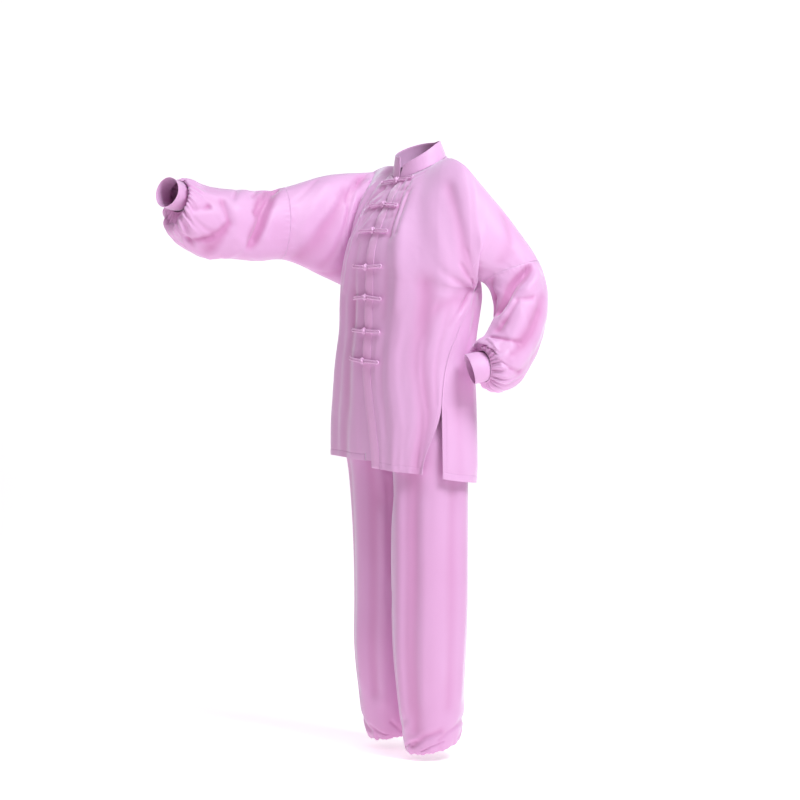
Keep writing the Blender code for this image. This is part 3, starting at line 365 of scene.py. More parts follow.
def hem_height(side, angle):
    return spline(HEM_AT["angle"], HEM_AT["left" if side == LEFT else "right"], angle)


def edge_angle(side, height):
    """Where a front panel's middle edge runs: on the centre line, but the left one opens below the last fastening."""
    if side == RIGHT:
        return np.full(np.shape(height), -90.0)
    return -90.0 + EDGE_SWING * ease((EDGE_SWING_FROM - height) / 0.24)


def angles(side, face, u, height):
    """Ring angles for a panel, from its middle edge at u = 0 to its side edge at u = 1."""
    gap = math.degrees(0.5 * SEAM_GAP / torso("left", CHEST_HEIGHT))
    opening = ease((VENT_TOP - height) / (VENT_TOP - 0.70)) * VENT_SPREAD
    seam = seam_angle(side, height)
    if face == FRONT:
        first = edge_angle(side, height)
        last = seam - gap - opening
    else:
        first = 90.0 - gap
        last = seam + gap
    return first + (last - first) * u


def chest(side, face, u):
    angle = angles(side, face, u, CHEST_HEIGHT)
    height = CHEST_HEIGHT + ARMPIT_RISE[side] * np.cos(np.radians(angle)) ** 2
    return torso_ring(side, height, angle)


def neck_ring(side, angle):
    """The neck opening's base at an angle in degrees from the side of the neck."""
    turn = np.radians(angle)
    depth = np.where(np.sin(turn) < 0, NECK_FRONT, NECK_BACK)
    x = side * NECK_SIDE * np.cos(turn)
    y = NECK_Y + depth * np.sin(turn)
    return placed(x, y, NECK_BASE + NECK_LIFT * np.sin(turn) + 0.005 * np.abs(np.cos(turn)))


def top_line(side, face, u):
    """The upper end of a panel's columns: round the neck first, then out along the shoulder."""
    u = np.asarray(u, float)
    start = -90.0 if face == FRONT else 90.0 - math.degrees(0.5 * SEAM_GAP / NECK_SIDE)
    round_neck = neck_ring(side, start * (1 - np.clip(u / NECK_SHARE, 0.0, 1.0)))
    out = np.clip((u - NECK_SHARE) / (1 - NECK_SHARE), 0.0, 1.0)[..., None]
    at_neck = neck_ring(side, 0.0)
    tip = placed(*SHOULDER_TIP[side])
    ridge = at_neck + (tip - at_neck) * out + np.array([0.0, 0.0, SHOULDER_ARCH[side]]) * 4 * out * (1 - out)
    return np.where(out > 0, ridge, round_neck)


def arm_frames(side):
    """For each arm section its middle, its direction and the way to its top, carried along without twist."""
    table = ARM_AT[side]
    middles = placed(table["x"], table["y"], table["height"])
    tip = placed(*SHOULDER_TIP[side])
    root = 0.5 * (tip + chest(side, FRONT, 1.0))
    path = np.vstack([root, middles])
    ways = unit(np.gradient(path, axis=0) * ARM_SLOPES[side])
    top = tip - chest(side, FRONT, 1.0)
    tops = []
    for way in ways:
        top = unit(top - np.dot(top, way) * way)
        tops.append(top)
    fronts = side * np.cross(ways, tops)
    return path, ways, np.array(tops), fronts


FRAMES = {side: arm_frames(side) for side in (LEFT, RIGHT)}


def arm_root(side, face, turn):
    """The line where body and arm meet, by its turn from the shoulder's top round the front or the back."""
    turn = np.asarray(turn, float)[..., None]
    path, ways, tops, fronts = FRAMES[side]
    tip = placed(*SHOULDER_TIP[side])
    pit = chest(side, face, 1.0)
    half = ROOT_FRONT[side] if face == FRONT else ROOT_BACK[side]
    reach = ROOT_REACH_FRONT[side] if face == FRONT else ROOT_REACH_BACK[side]
    outward = -face * fronts[0] * half
    ring = 0.5 * (tip + pit) + 0.5 * (tip - pit) * np.cos(turn)
    return ring + outward * np.sin(turn) + ways[0] * reach * np.sin(turn) ** 2


def arm_section(side, index, turn):
    """Ring of one arm section, by the turn from the top, forwards."""
    table = ARM_AT[side]
    path, ways, tops, fronts = FRAMES[side]
    turn = np.asarray(turn, float)[..., None]
    up = np.where(np.cos(turn) > 0, table["top"][index], table["under"][index])
    out = np.where(np.sin(turn) > 0, table["front"][index], table["back"][index])
    ring = path[index + 1] + tops[index + 1] * up * np.cos(turn) + fronts[index + 1] * out * np.sin(turn)
    return ring + ways[index + 1] * table["lean"][index] * 0.5 * (1 - np.cos(turn))


def arm_point(side, along, turn, face=None):
    """Sleeve cloth at a distance along the arm and a turn from its top. Positive turns go round the front."""
    along = np.asarray(along, float)
    turn = np.asarray(turn, float)
    along, turn = np.broadcast_arrays(along, turn)
    table = ARM_AT[side]
    if face is None:
        wrapped = (turn + math.pi) % (2 * math.pi) - math.pi
        ahead = arm_root(side, FRONT, np.abs(wrapped))
        behind = arm_root(side, BACK, np.abs(wrapped))
        rings = [np.where((wrapped >= 0)[..., None], ahead, behind)]
    else:
        rings = [arm_root(side, face, np.abs(turn))]
    for index in range(len(table["along"])):
        rings.append(arm_section(side, index, turn))
    places = np.concatenate([[0.0], table["along"]])
    return spline_each(places, np.stack(rings), along)


def upper_panel(side, face, u, v):
    """The panel from the shoulder, v = 0, to the level of the armpit, v = 1."""
    u, v = np.broadcast_arrays(np.asarray(u, float), np.asarray(v, float))
    top = top_line(side, face, u)
    low = chest(side, face, u)
    slope = np.where(u < NECK_SHARE, 1 - u / NECK_SHARE, 0.0)
    steep = np.radians(12.0 + (42.0 if face == FRONT else 30.0) * slope)
    spread = 0.25 * side * slope * np.sin(np.pi * u)
    start = np.stack([spread, face * np.cos(steep), -np.sin(steep)], axis=-1)
    first = top + start * (0.075 if face == FRONT else 0.070)
    second = low + np.array([0.0, face * 0.004, 0.090])
    t = v[..., None]
    curve = (1 - t) ** 3 * top + 3 * t * (1 - t) ** 2 * first + 3 * t * t * (1 - t) * second + t ** 3 * low
    root = arm_root(side, face, np.pi * v)
    carried = root + (1 - t) * (top - arm_root(side, face, 0.0)) + t * (low - arm_root(side, face, np.pi))
    share = ease((u - ARM_BLEND_FROM) / (1 - ARM_BLEND_FROM))[..., None]
    return curve + (carried - curve) * share


def lower_panel(side, face, u, t):
    """The panel from the armpit's level, t = 0, to the hem, t = 1."""
    u, t = np.broadcast_arrays(np.asarray(u, float), np.asarray(t, float))
    start = chest(side, face, u)[..., 2] + NECK_HEIGHT
    height = start
    for _ in range(3):
        angle = angles(side, face, u, height)
        height = start + (hem_height(side, angle) - start) * t
    return torso_ring(side, height, angles(side, face, u, height))


def inset(points):
    """Takes the right front in towards the body near the centre line, where the left front covers it."""
    depth = UNDERLAP_INSET * ease((points[..., 0] + 0.034) / 0.026)
    return points + depth[..., None] * np.array([0.0, 1.0, 0.0])


def panel_point(side, face, u, w):
    """Jacket body at u from the middle edge to the side, w from the shoulder, 0, past the armpit's level, 1, to the hem, 2."""
    u, w = np.broadcast_arrays(np.asarray(u, float), np.asarray(w, float))
    above = upper_panel(side, face, u, np.minimum(w, 1.0))
    below = lower_panel(side, face, u, np.maximum(w - 1.0, 0.0))
    points = np.where((w <= 1.0)[..., None], above, below)
    return inset(points) if (side, face) == (RIGHT, FRONT) else points


def underlap_point(share, w):
    """The right front's edge under the left front, made from the left front's own points, moved in."""
    share, w = np.broadcast_arrays(np.asarray(share, float), np.asarray(w, float))
    whole = angles(LEFT, FRONT, 1.0, CHEST_HEIGHT) + 90.0
    above = upper_panel(LEFT, FRONT, share * UNDERLAP / whole, np.minimum(w, 1.0))
    start = chest(LEFT, FRONT, share * UNDERLAP / whole)[..., 2] + NECK_HEIGHT
    height = start + (hem_height(RIGHT, -90.0) - start) * np.maximum(w - 1.0, 0.0)
    below = torso_ring(LEFT, height, -90.0 + UNDERLAP * share)
    return inset(np.where((w <= 1.0)[..., None], above, below))


def fold_field(rows, a, b, a_length, b_length):
    """How far folds carry the cloth out at each place. Lengths are the metres that one unit of a or b stands for."""
    field = np.zeros(np.broadcast(a, b).shape)
    for row in rows:
        fold = dict(zip(FOLD_COLUMNS, row))
        places = [(fold["a" + n], fold["b" + n]) for n in "123"]
        nearest = np.full(field.shape, np.inf)
        for first, last in zip(places, places[1:]):
            run = np.array([(last[0] - first[0]) * a_length, (last[1] - first[1]) * b_length])
            da = (a - first[0]) * a_length
            db = (b - first[1]) * b_length
            t = np.clip((da * run[0] + db * run[1]) / np.dot(run, run), 0.0, 1.0)
            nearest = np.minimum(nearest, np.hypot(da - t * run[0], db - t * run[1]))
        field += fold["out"] * np.exp(-((nearest / fold["width"]) ** 2))
    return field


def normals(point, a, b, step_a, step_b, side):
    """Outward normals of a surface given as a function of two places."""
    across = point(a + step_a, b) - point(a - step_a, b)
    along = point(a, b + step_b) - point(a, b - step_b)
    return unit(np.cross(across, along)) * side


def plain_sheet(side, face, u, w):
    """Body panel and upper sleeve as one sheet: u past 1 goes on along the arm, by PANEL_SPAN for each unit."""
    u, w = np.broadcast_arrays(np.asarray(u, float), np.asarray(w, float))
    w = np.clip(w, 0.0, 2.0)
    body = panel_point(side, face, np.clip(u, 0.0, 1.0), w)
    along = np.maximum(u - 1.0, 0.0) * PANEL_SPAN
    gap = 0.5 * SEAM_GAP / 0.06 * np.minimum(along / SEAM_ALONG[side], 1.0)
    arm = arm_point(side, along, -face * np.minimum(w, 1.0) * (np.pi - gap), face)
    return np.where((u <= 1.0)[..., None], body, arm)


def sheet_point(side, face, u, w):
    """plain_sheet() with its folds, which fade out at the seams, the shoulder and the middle edge."""
    u, w = np.broadcast_arrays(np.asarray(u, float), np.asarray(w, float))

    def plain(some_u, some_w):
        return plain_sheet(side, face, some_u, some_w)

    field = fold_field(BODY_FOLDS[side, face], u, w, PANEL_SPAN, 0.32)
    field *= ease(u / 0.10) * ease(w / 0.12)
    field *= ease((1.0 + SEAM_ALONG[side] / PANEL_SPAN - u) / 0.10)
    field *= np.where(u > 1.0, ease((1.0 - w) / 0.10), ease((1.0 - u) / 0.06 + np.clip((1.0 - w) / 0.06, 0.0, 1.0)))
    out = normals(plain, u, w, 0.01, 0.01, side * face)
    return plain(u, w) + out * field[..., None]


def plain_leg(side, height, share):
    """Trouser leg at a row of the table, by the share of the way round from the inner seam's front to its back."""
    height, share = np.broadcast_arrays(np.asarray(height, float), np.asarray(share, float))
    order = np.arange(len(LEG_AT["height"]))
    at = {name: spline(order, values, height) for name, values in LEG_AT.items()}
    start = np.arccos(np.clip((at["x"] - 0.5 * SEAM_GAP) / at["half"], -1.0, 1.0))
    turn = start + (2 * np.pi - 2 * start) * share
    depth = np.where(np.sin(turn) > 0, at["front"], at["back"])
    middle_y = at["left_y"] if side == LEFT else at["right_y"]
    x = side * (at["x"] - at["half"] * np.cos(turn))
    y = middle_y - depth * np.sin(turn)
    lift = 0.0 if side == LEFT else at["right_lift"]
    return placed(x, y, at["height"] + lift + at["tilt"] * (y - middle_y))


def leg_point(side, row, share):
    """plain_leg() with its folds and the gathers at the ankle."""
    row, share = np.broadcast_arrays(np.asarray(row, float), np.asarray(share, float))

    def plain(some_row, some_share):
        return plain_leg(side, some_row, np.clip(some_share, 0.0, 1.0))

    field = fold_field(LEG_FOLDS[side], row, share, 0.075, 0.53)
    wave = 0.5 * (np.cos(2 * np.pi * ANKLE_GATHERS * share) - 1)
    field += wave * (1 - ease((row - 0.6) / 2.8)) * ANKLE_GATHER_DEPTH
    field *= ease(share / 0.04) * ease((1 - share) / 0.04)
    out = normals(plain, row, share, 0.02, 0.004, -side)
    return plain(row, share) + out * field[..., None]


def sleeve_point(side, along, turn):
    """Lower sleeve with its folds and the gathers at the cuff."""
    along, turn = np.broadcast_arrays(np.asarray(along, float), np.asarray(turn, float))

    def plain(some_along, some_turn):
        return arm_point(side, some_along, some_turn)

    end = ARM_AT[side]["along"][-1]
    field = fold_field(SLEEVE_FOLDS[side], along, turn % (2 * np.pi), 1.0, 0.062)
    field *= ease((along - SEAM_ALONG[side]) / 0.02)
    wave = np.cos(GATHERS * turn) * ease((along - end + 0.09) / 0.08)
    field += wave * GATHER_DEPTH
    inside = arm_point(side, along, turn + np.pi)
    here = plain(along, turn)
    lengthways = plain(along + 0.002, turn) - plain(along - 0.002, turn)
    crossways = plain(along, turn + 0.02) - plain(along, turn - 0.02)
    out = unit(np.cross(lengthways, crossways))
    facing = np.sign(np.sum(out * (here - inside), axis=-1, keepdims=True))
    return here + out * facing * field[..., None]


def grid(points, closed=False):
    """Points and faces of a surface from rows and columns of points."""
    rows, cols = points.shape[:2]
    faces = []
    for j in range(rows - 1):
        for i in range(cols if closed else cols - 1):
            n = (i + 1) % cols
            faces.append((j * cols + i, j * cols + n, (j + 1) * cols + n, (j + 1) * cols + i))
    return points.reshape(-1, 3), faces


def joined(parts):
    points = []
    faces = []
    count = 0
    for some, some_faces in parts:
        points.append(some)
        faces += [tuple(k + count for k in face) for face in some_faces]
        count += len(some)
    return np.vstack(points), faces


# Finer folds than the solids have, with the same columns as the tables above.
FINE_BODY_FOLDS = {
    (LEFT, FRONT): (
        (0.06, 0.05, 0.14, 0.10, 0.26, 0.13, -0.0012, 0.005),
        (0.192, 0.208, 0.200, 0.442, 0.183, 0.650, -0.0022, 0.0045),
        (0.275, 0.292, 0.258, 0.483, 0.242, 0.642, -0.0020, 0.0045),
        (0.105, 0.07, 0.135, 0.20, 0.160, 0.38, -0.0018, 0.0036),
        (0.145, 0.06, 0.175, 0.17, 0.205, 0.30, 0.0014, 0.0036),
        (0.185, 0.05, 0.225, 0.16, 0.250, 0.29, -0.0018, 0.0036),
        (0.130, 0.34, 0.140, 0.48, 0.135, 0.62, -0.0014, 0.0040),
        (0.232, 0.34, 0.226, 0.50, 0.214, 0.66, 0.0014, 0.0042),
        (0.10, 0.04, 0.24, 0.10, 0.40, 0.16, -0.0010, 0.005),
        (0.05, 0.16, 0.11, 0.20, 0.19, 0.22, -0.0014, 0.006),
        (0.04, 0.30, 0.10, 0.33, 0.17, 0.33, -0.0011, 0.006),
        (0.04, 0.46, 0.10, 0.49, 0.18, 0.48, -0.0011, 0.007),
        (0.265, 0.620, 0.275, 0.860, 0.290, 1.120, 0.0034, 0.0160),
        (1.030, 0.580, 1.120, 0.690, 1.220, 0.780, 0.0075, 0.0220),
        (0.160, 0.660, 0.165, 0.900, 0.170, 1.200, -0.0022, 0.0110),
        (0.98, 0.93, 0.90, 0.84, 0.80, 0.76, -0.0026, 0.006),
        (0.925, 0.845, 0.950, 0.880, 0.985, 0.930, -0.0034, 0.0045),
        (0.985, 0.930, 0.940, 1.020, 0.930, 1.110, -0.0034, 0.0045),
        (0.99, 0.88, 0.92, 0.76, 0.85, 0.66, -0.0018, 0.006),
        (1.02, 0.94, 0.90, 0.96, 0.78, 1.01, -0.0018, 0.006),
        (1.00, 0.99, 0.93, 1.07, 0.88, 1.18, -0.0018, 0.007),
        (1.10, 0.93, 1.20, 0.86, 1.32, 0.82, -0.0022, 0.006),
        (1.12, 0.84, 1.24, 0.76, 1.38, 0.72, -0.0020, 0.007),
        (0.36, 1.20, 0.42, 1.50, 0.55, 1.96, 0.0013, 0.013),
        (0.14, 1.30, 0.15, 1.60, 0.20, 1.96, 0.0011, 0.012),
        (0.21, 0.95, 0.22, 1.35, 0.26, 1.80, -0.0016, 0.013),
        (0.62, 1.30, 0.74, 1.60, 0.90, 1.93, 0.0014, 0.010),
        (0.80, 1.12, 0.86, 1.34, 0.93, 1.60, -0.0013, 0.010),
    ),
    (LEFT, BACK): (
        (0.99, 0.90, 0.86, 0.84, 0.70, 0.80, -0.0022, 0.008),
        (1.00, 0.97, 0.88, 1.00, 0.74, 1.08, -0.0020, 0.008),
        (0.30, 0.10, 0.40, 0.40, 0.38, 0.80, -0.0022, 0.012),
        (0.10, 0.80, 0.12, 1.30, 0.08, 1.80, -0.0013, 0.012),
        (0.54, 1.10, 0.58, 1.50, 0.56, 1.95, 0.0014, 0.012),
        (0.82, 1.20, 0.86, 1.55, 0.84, 1.95, -0.0017, 0.012),
        (1.12, 0.86, 1.26, 0.76, 1.42, 0.70, -0.0024, 0.008),
    ),
    (RIGHT, FRONT): (
        (0.05, 0.07, 0.14, 0.14, 0.24, 0.21, -0.0015, 0.005),
        (0.142, 0.158, 0.230, 0.275, 0.325, 0.408, -0.0024, 0.0050),
        (0.067, 0.325, 0.120, 0.430, 0.183, 0.542, -0.0020, 0.0045),
        (0.090, 0.100, 0.170, 0.215, 0.260, 0.345, 0.0015, 0.0040),
        (0.080, 0.200, 0.140, 0.310, 0.210, 0.430, -0.0016, 0.0040),
        (0.05, 0.13, 0.12, 0.21, 0.22, 0.30, -0.0013, 0.005),
        (0.09, 0.05, 0.22, 0.11, 0.36, 0.17, -0.0013, 0.006),
        (0.10, 0.26, 0.18, 0.34, 0.26, 0.46, -0.0018, 0.006),
        (0.08, 0.50, 0.16, 0.58, 0.24, 0.70, -0.0013, 0.006),
        (0.30, 0.10, 0.52, 0.15, 0.76, 0.20, -0.0022, 0.009),
        (1.120, 0.290, 1.180, 0.420, 1.220, 0.560, 0.0068, 0.0140),
        (1.050, 0.260, 1.095, 0.400, 1.120, 0.560, -0.0050, 0.0140),
        (1.030, 0.030, 1.085, 0.090, 1.140, 0.190, -0.0040, 0.0055),
        (0.265, 0.500, 0.245, 0.740, 0.310, 1.030, 0.0044, 0.0100),
        (0.160, 0.700, 0.150, 0.940, 0.160, 1.240, -0.0024, 0.0110),
        (0.42, 0.22, 0.64, 0.30, 0.92, 0.36, 0.0022, 0.010),
        (0.56, 0.80, 0.58, 1.20, 0.62, 1.70, 0.0016, 0.012),
        (0.30, 0.90, 0.30, 1.40, 0.36, 1.95, -0.0018, 0.012),
        (0.10, 1.40, 0.11, 1.70, 0.15, 1.96, 0.0012, 0.010),
        (0.86, 1.00, 0.84, 1.40, 0.88, 1.92, -0.0018, 0.012),
        (0.98, 0.96, 0.86, 0.90, 0.70, 0.88, -0.0022, 0.008),
        (1.12, 0.08, 1.19, 0.20, 1.25, 0.34, -0.0026, 0.007),
        (1.20, 0.42, 1.36, 0.60, 1.48, 0.84, -0.0028, 0.010),
        (1.40, 0.34, 1.56, 0.48, 1.70, 0.66, 0.0022, 0.010),
        (1.10, 0.70, 1.28, 0.80, 1.46, 0.94, -0.0026, 0.010),
        (1.52, 0.10, 1.62, 0.20, 1.74, 0.30, -0.0018, 0.008),
    ),
    (RIGHT, BACK): (
        (0.99, 0.50, 0.80, 0.60, 0.60, 0.76, -0.0026, 0.009),
        (1.00, 0.84, 0.86, 0.90, 0.68, 1.04, -0.0026, 0.009),
        (0.30, 0.10, 0.36, 0.40, 0.34, 0.80, -0.0022, 0.012),
        (0.10, 0.80, 0.12, 1.30, 0.14, 1.80, -0.0013, 0.012),
        (0.58, 1.00, 0.60, 1.50, 0.64, 1.95, 0.0016, 0.012),
        (0.86, 1.10, 0.88, 1.55, 0.90, 1.95, -0.0017, 0.012),
        (1.14, 0.50, 1.34, 0.56, 1.56, 0.60, -0.0026, 0.010),
        (1.20, 0.84, 1.44, 0.88, 1.68, 0.90, -0.0026, 0.009),
    ),
}
FINE_SLEEVE_FOLDS = {
    LEFT: (
        (0.176, 1.22, 0.214, 1.90, 0.290, 2.66, -0.0082, 0.0085),
        (0.192, 1.02, 0.240, 1.62, 0.320, 2.36, 0.0036, 0.0100),
        (0.252, 1.30, 0.258, 1.84, 0.320, 2.26, -0.0052, 0.0070),
        (0.285, 0.95, 0.340, 1.10, 0.385, 1.28, -0.0036, 0.0120),
        (0.350, 1.30, 0.362, 1.80, 0.372, 2.40, -0.0046, 0.0055),
        (0.410, 1.80, 0.398, 2.06, 0.388, 2.40, 0.0040, 0.0055),
        (0.175, 2.60, 0.205, 2.85, 0.240, 3.00, -0.0040, 0.0070),
        (0.300, 0.20, 0.360, 0.45, 0.430, 0.60, -0.0030, 0.0110),
        (0.400, 0.60, 0.420, 0.95, 0.438, 1.30, -0.0034, 0.0060),
        (0.300, 3.60, 0.360, 3.80, 0.430, 3.80, -0.0034, 0.0090),
        (0.300, 5.00, 0.370, 5.10, 0.430, 5.20, -0.0034, 0.0090),
        (0.190, 5.30, 0.230, 5.60, 0.290, 5.90, -0.0030, 0.0100),
    ),
    RIGHT: (
        (0.258, 0.10, 0.299, 1.15, 0.318, 1.96, -0.0078, 0.0085),
        (0.246, 0.30, 0.280, 1.25, 0.296, 1.90, 0.0032, 0.0100),
        (0.279, 0.10, 0.298, 0.72, 0.318, 1.18, -0.0040, 0.0055),
        (0.292, 0.05, 0.304, 0.34, 0.318, 0.60, -0.0034, 0.0050),
        (0.342, 0.10, 0.352, 0.42, 0.364, 0.78, -0.0034, 0.0060),
        (0.460, 1.62, 0.446, 1.38, 0.428, 1.14, -0.0052, 0.0048),
        (0.448, 2.56, 0.434, 2.26, 0.414, 1.96, -0.0056, 0.0055),
        (0.470, 2.02, 0.458, 2.30, 0.442, 2.62, -0.0046, 0.0060),
        (0.472, 2.50, 0.458, 2.85, 0.440, 3.10, -0.0042, 0.0060),
        (0.394, 0.92, 0.380, 1.50, 0.425, 2.12, -0.0046, 0.0085),
        (0.340, 2.10, 0.362, 2.62, 0.396, 3.05, 0.0044, 0.0110),
        (0.300, 4.20, 0.370, 4.00, 0.440, 3.90, -0.0034, 0.0100),
        (0.300, 5.40, 0.380, 5.20, 0.440, 5.20, -0.0034, 0.0090),
        (0.260, 6.20, 0.300, 5.80, 0.330, 5.50, -0.0030, 0.0090),
    ),
}
FINE_LEG_FOLDS = {
    LEFT: (
        (7.9, 0.090, 7.0, 0.110, 6.0, 0.150, -0.0030, 0.008),
        (7.8, 0.060, 7.2, 0.070, 6.2, 0.080, -0.0026, 0.007),
        (9.0, 0.270, 6.5, 0.285, 4.0, 0.270, -0.0024, 0.010),
        (7.5, 0.360, 6.0, 0.365, 4.2, 0.350, 0.0022, 0.011),
        (8.6, 0.470, 6.4, 0.480, 4.0, 0.470, -0.0028, 0.013),
        (8.6, 0.540, 6.2, 0.560, 4.2, 0.550, 0.0024, 0.013),
        (8.6, 0.700, 6.2, 0.710, 4.2, 0.700, -0.0026, 0.013),
        (8.0, 0.880, 6.2, 0.880, 4.4, 0.900, -0.0024, 0.012),
        (6.0, 0.170, 4.8, 0.180, 3.8, 0.190, -0.0022, 0.010),
        (2.3, 0.180, 2.7, 0.230, 2.9, 0.290, -0.0030, 0.006),
        (2.2, 0.330, 2.5, 0.380, 2.6, 0.440, -0.0028, 0.006),
        (2.8, 0.420, 3.1, 0.470, 3.2, 0.530, -0.0026, 0.007),
        (2.2, 0.560, 2.7, 0.620, 2.9, 0.680, -0.0028, 0.007),
        (2.3, 0.820, 2.8, 0.780, 3.1, 0.740, -0.0028, 0.007),
        (2.2, 0.060, 2.7, 0.080, 3.1, 0.120, -0.0026, 0.006),
    ),
    RIGHT: (
        (7.9, 0.060, 7.2, 0.075, 6.4, 0.095, -0.0028, 0.007),
        (7.9, 0.100, 7.0, 0.110, 6.0, 0.120, -0.0028, 0.008),
        (8.6, 0.290, 6.4, 0.300, 4.2, 0.300, -0.0026, 0.012),
        (8.2, 0.440, 6.2, 0.440, 4.2, 0.440, 0.0024, 0.013),
        (8.6, 0.520, 6.4, 0.530, 4.0, 0.520, -0.0028, 0.013),
        (8.6, 0.700, 6.2, 0.710, 4.2, 0.700, -0.0026, 0.013),
        (8.0, 0.880, 6.2, 0.880, 4.4, 0.900, -0.0024, 0.012),
        (2.3, 0.150, 2.7, 0.200, 3.0, 0.240, -0.0028, 0.006),
        (2.2, 0.320, 2.6, 0.380, 2.7, 0.450, -0.0028, 0.006),
        (2.6, 0.460, 3.0, 0.520, 3.2, 0.590, -0.0026, 0.007),
        (2.3, 0.820, 2.8, 0.780, 3.1, 0.740, -0.0028, 0.007),
        (2.2, 0.060, 2.7, 0.080, 3.1, 0.110, -0.0026, 0.006),
    ),
}
FRONT_EASE = 0.85
UNEVEN = 0.0011
HEM_DEPTH = 0.015
EDGE_TURN = 0.010
PUCKER = 0.0013
GAPE = 0.0028
FINE_GATHERS = 37
ANKLE_FINE = 31


def uneven(a, b, pitch, seed):
    """Repeatable unevenness between about -1 and 1, from a few crossed waves. Places and pitch are in metres."""
    total = 0.0
    for k in range(6):
        way = seed * 1.7 + k * 2.399
        turn = 2 * math.pi / pitch * (0.55 + 0.22 * k)
        total = total + np.sin(turn * (a * math.cos(way) + b * math.sin(way)) + seed * (3.1 + k)) / (1 + 0.4 * k)
    return total / 3.2


def gathers(turn, count, seed):
    """Gathers round a tube, unevenly spaced and deep, between about -1 and 1."""
    moved = turn + 0.9 / count * np.sin(5 * turn + seed) + 0.7 / count * np.sin(11 * turn + 2 * seed)
    return np.cos(count * moved) * (0.72 + 0.28 * np.sin(4 * turn + 3 * seed))


def between_frogs(height):
    """How far the front edge stands open: nothing at a fastening, most halfway between two."""
    height = np.asarray(height, float)
    heights = np.array([row[0] for row in FROGS])
    nearest = np.min(np.abs(height[..., None] - heights), axis=-1)
    return ease((nearest - 0.008) / 0.02) * (height > heights.min()) * (height < heights.max())


def sheet_field(side, face, u, w):
    """Everything that stands out of or into a body panel's plain cloth, in metres."""
    a = u * PANEL_SPAN
    b = w * 0.32
    field = FRONT_EASE * fold_field(BODY_FOLDS[side, face], u, w, PANEL_SPAN, 0.32)
    field += fold_field(FINE_BODY_FOLDS[side, face], u, w, PANEL_SPAN, 0.32)
    seed = 2.0 + side + 0.5 * face
    field += UNEVEN * uneven(a * 1.5, b * 0.6, 0.11, seed) + 0.25 * UNEVEN * uneven(a, b * 0.7, 0.035, seed + 1)
    field *= ease(u / 0.10) * ease(w / 0.12)
    seam = 1.0 + SEAM_ALONG[side] / PANEL_SPAN
    field *= ease((seam - u) / 0.10)
    field *= np.where(u > 1.0, ease((1.0 - w) / 0.10), ease((1.0 - u) / 0.06 + np.clip((1.0 - w) / 0.06, 0.0, 1.0)))
    from_seam = (seam - u) * PANEL_SPAN
    puckers = 0.5 + 0.5 * gathers(np.pi * w, 20, seed)
    field -= PUCKER * puckers * np.exp(-((from_seam / 0.013) ** 2)) * ease(from_seam / 0.002)
    from_side = (1.0 - u) * PANEL_SPAN
    below = ease((w - 1.02) / 0.03)
    lines = 0.5 + 0.5 * uneven(b, 0.2 * a, 0.017, seed)
    field -= 0.0007 * lines * np.exp(-((from_side / 0.010) ** 2)) * below * ease(from_side / 0.002)
    from_neck = w * 0.32
    tight = 0.5 + 0.5 * uneven(a, 0.1 * b, 0.014, seed + 2)
    field -= 0.0008 * tight * np.exp(-(((from_neck - 0.008) / 0.010) ** 2)) * ease((NECK_SHARE - u) / 0.1)
    from_hem = (2.0 - w) * 0.42
    field += 0.0004 * ease((HEM_DEPTH - from_hem) / 0.0015)
    field -= 0.0005 * np.exp(-(((from_hem - HEM_DEPTH) / 0.0016) ** 2))
    field += 0.0005 * uneven(a, b, 0.02, seed + 3) * np.exp(-((from_hem / 0.016) ** 2))
    at_vent = ease((w - 1.62) / 0.04)
    field -= 0.0005 * at_vent * np.exp(-(((from_side - EDGE_TURN) / 0.0016) ** 2))
    return field


def sheet_point(side, face, u, w):
    """plain_sheet() with its folds, seams and hems."""
    u, w = np.broadcast_arrays(np.asarray(u, float), np.asarray(w, float))

    def plain(some_u, some_w):
        return plain_sheet(side, face, some_u, some_w)

    out = normals(plain, u, w, 0.01, 0.01, side * face)
    points = plain(u, w)
    field = sheet_field(side, face, u, w)
    if (side, face) == (LEFT, FRONT):
        gape = between_frogs(points[..., 2] + NECK_HEIGHT) * GAPE * np.exp(-((u * PANEL_SPAN / 0.016) ** 2))
        field = field + gape
    return points + out * field[..., None]


def leg_field(side, row, share):
    field = fold_field(LEG_FOLDS[side], row, share, 0.075, 0.53)
    field += fold_field(FINE_LEG_FOLDS[side], row, share, 0.075, 0.53)
    seed = 5.0 + side
    field += UNEVEN * uneven(share * 0.8, row * 0.035, 0.10, seed)
    turn = 2 * np.pi * share
    field += 0.0011 * (gathers(turn, ANKLE_FINE, seed) - 0.6) * (1 - ease((row - 0.9) / 1.2))
    field += 0.0024 * (gathers(turn, ANKLE_GATHERS, seed + 1) - 0.8) * (1 - ease((row - 0.8) / 2.6))
    field *= ease(share / 0.04) * ease((1 - share) / 0.04)
    return field - 0.0012 * np.exp(-(((row - 0.42) / 0.10) ** 2))


def leg_point(side, row, share):
    """plain_leg() with its folds and the gathers at the ankle."""
    row, share = np.broadcast_arrays(np.asarray(row, float), np.asarray(share, float))

    def plain(some_row, some_share):
        return plain_leg(side, some_row, np.clip(some_share, 0.0, 1.0))

    out = normals(plain, row, share, 0.02, 0.004, -side)
    return plain(row, share) + out * leg_field(side, row, share)[..., None]


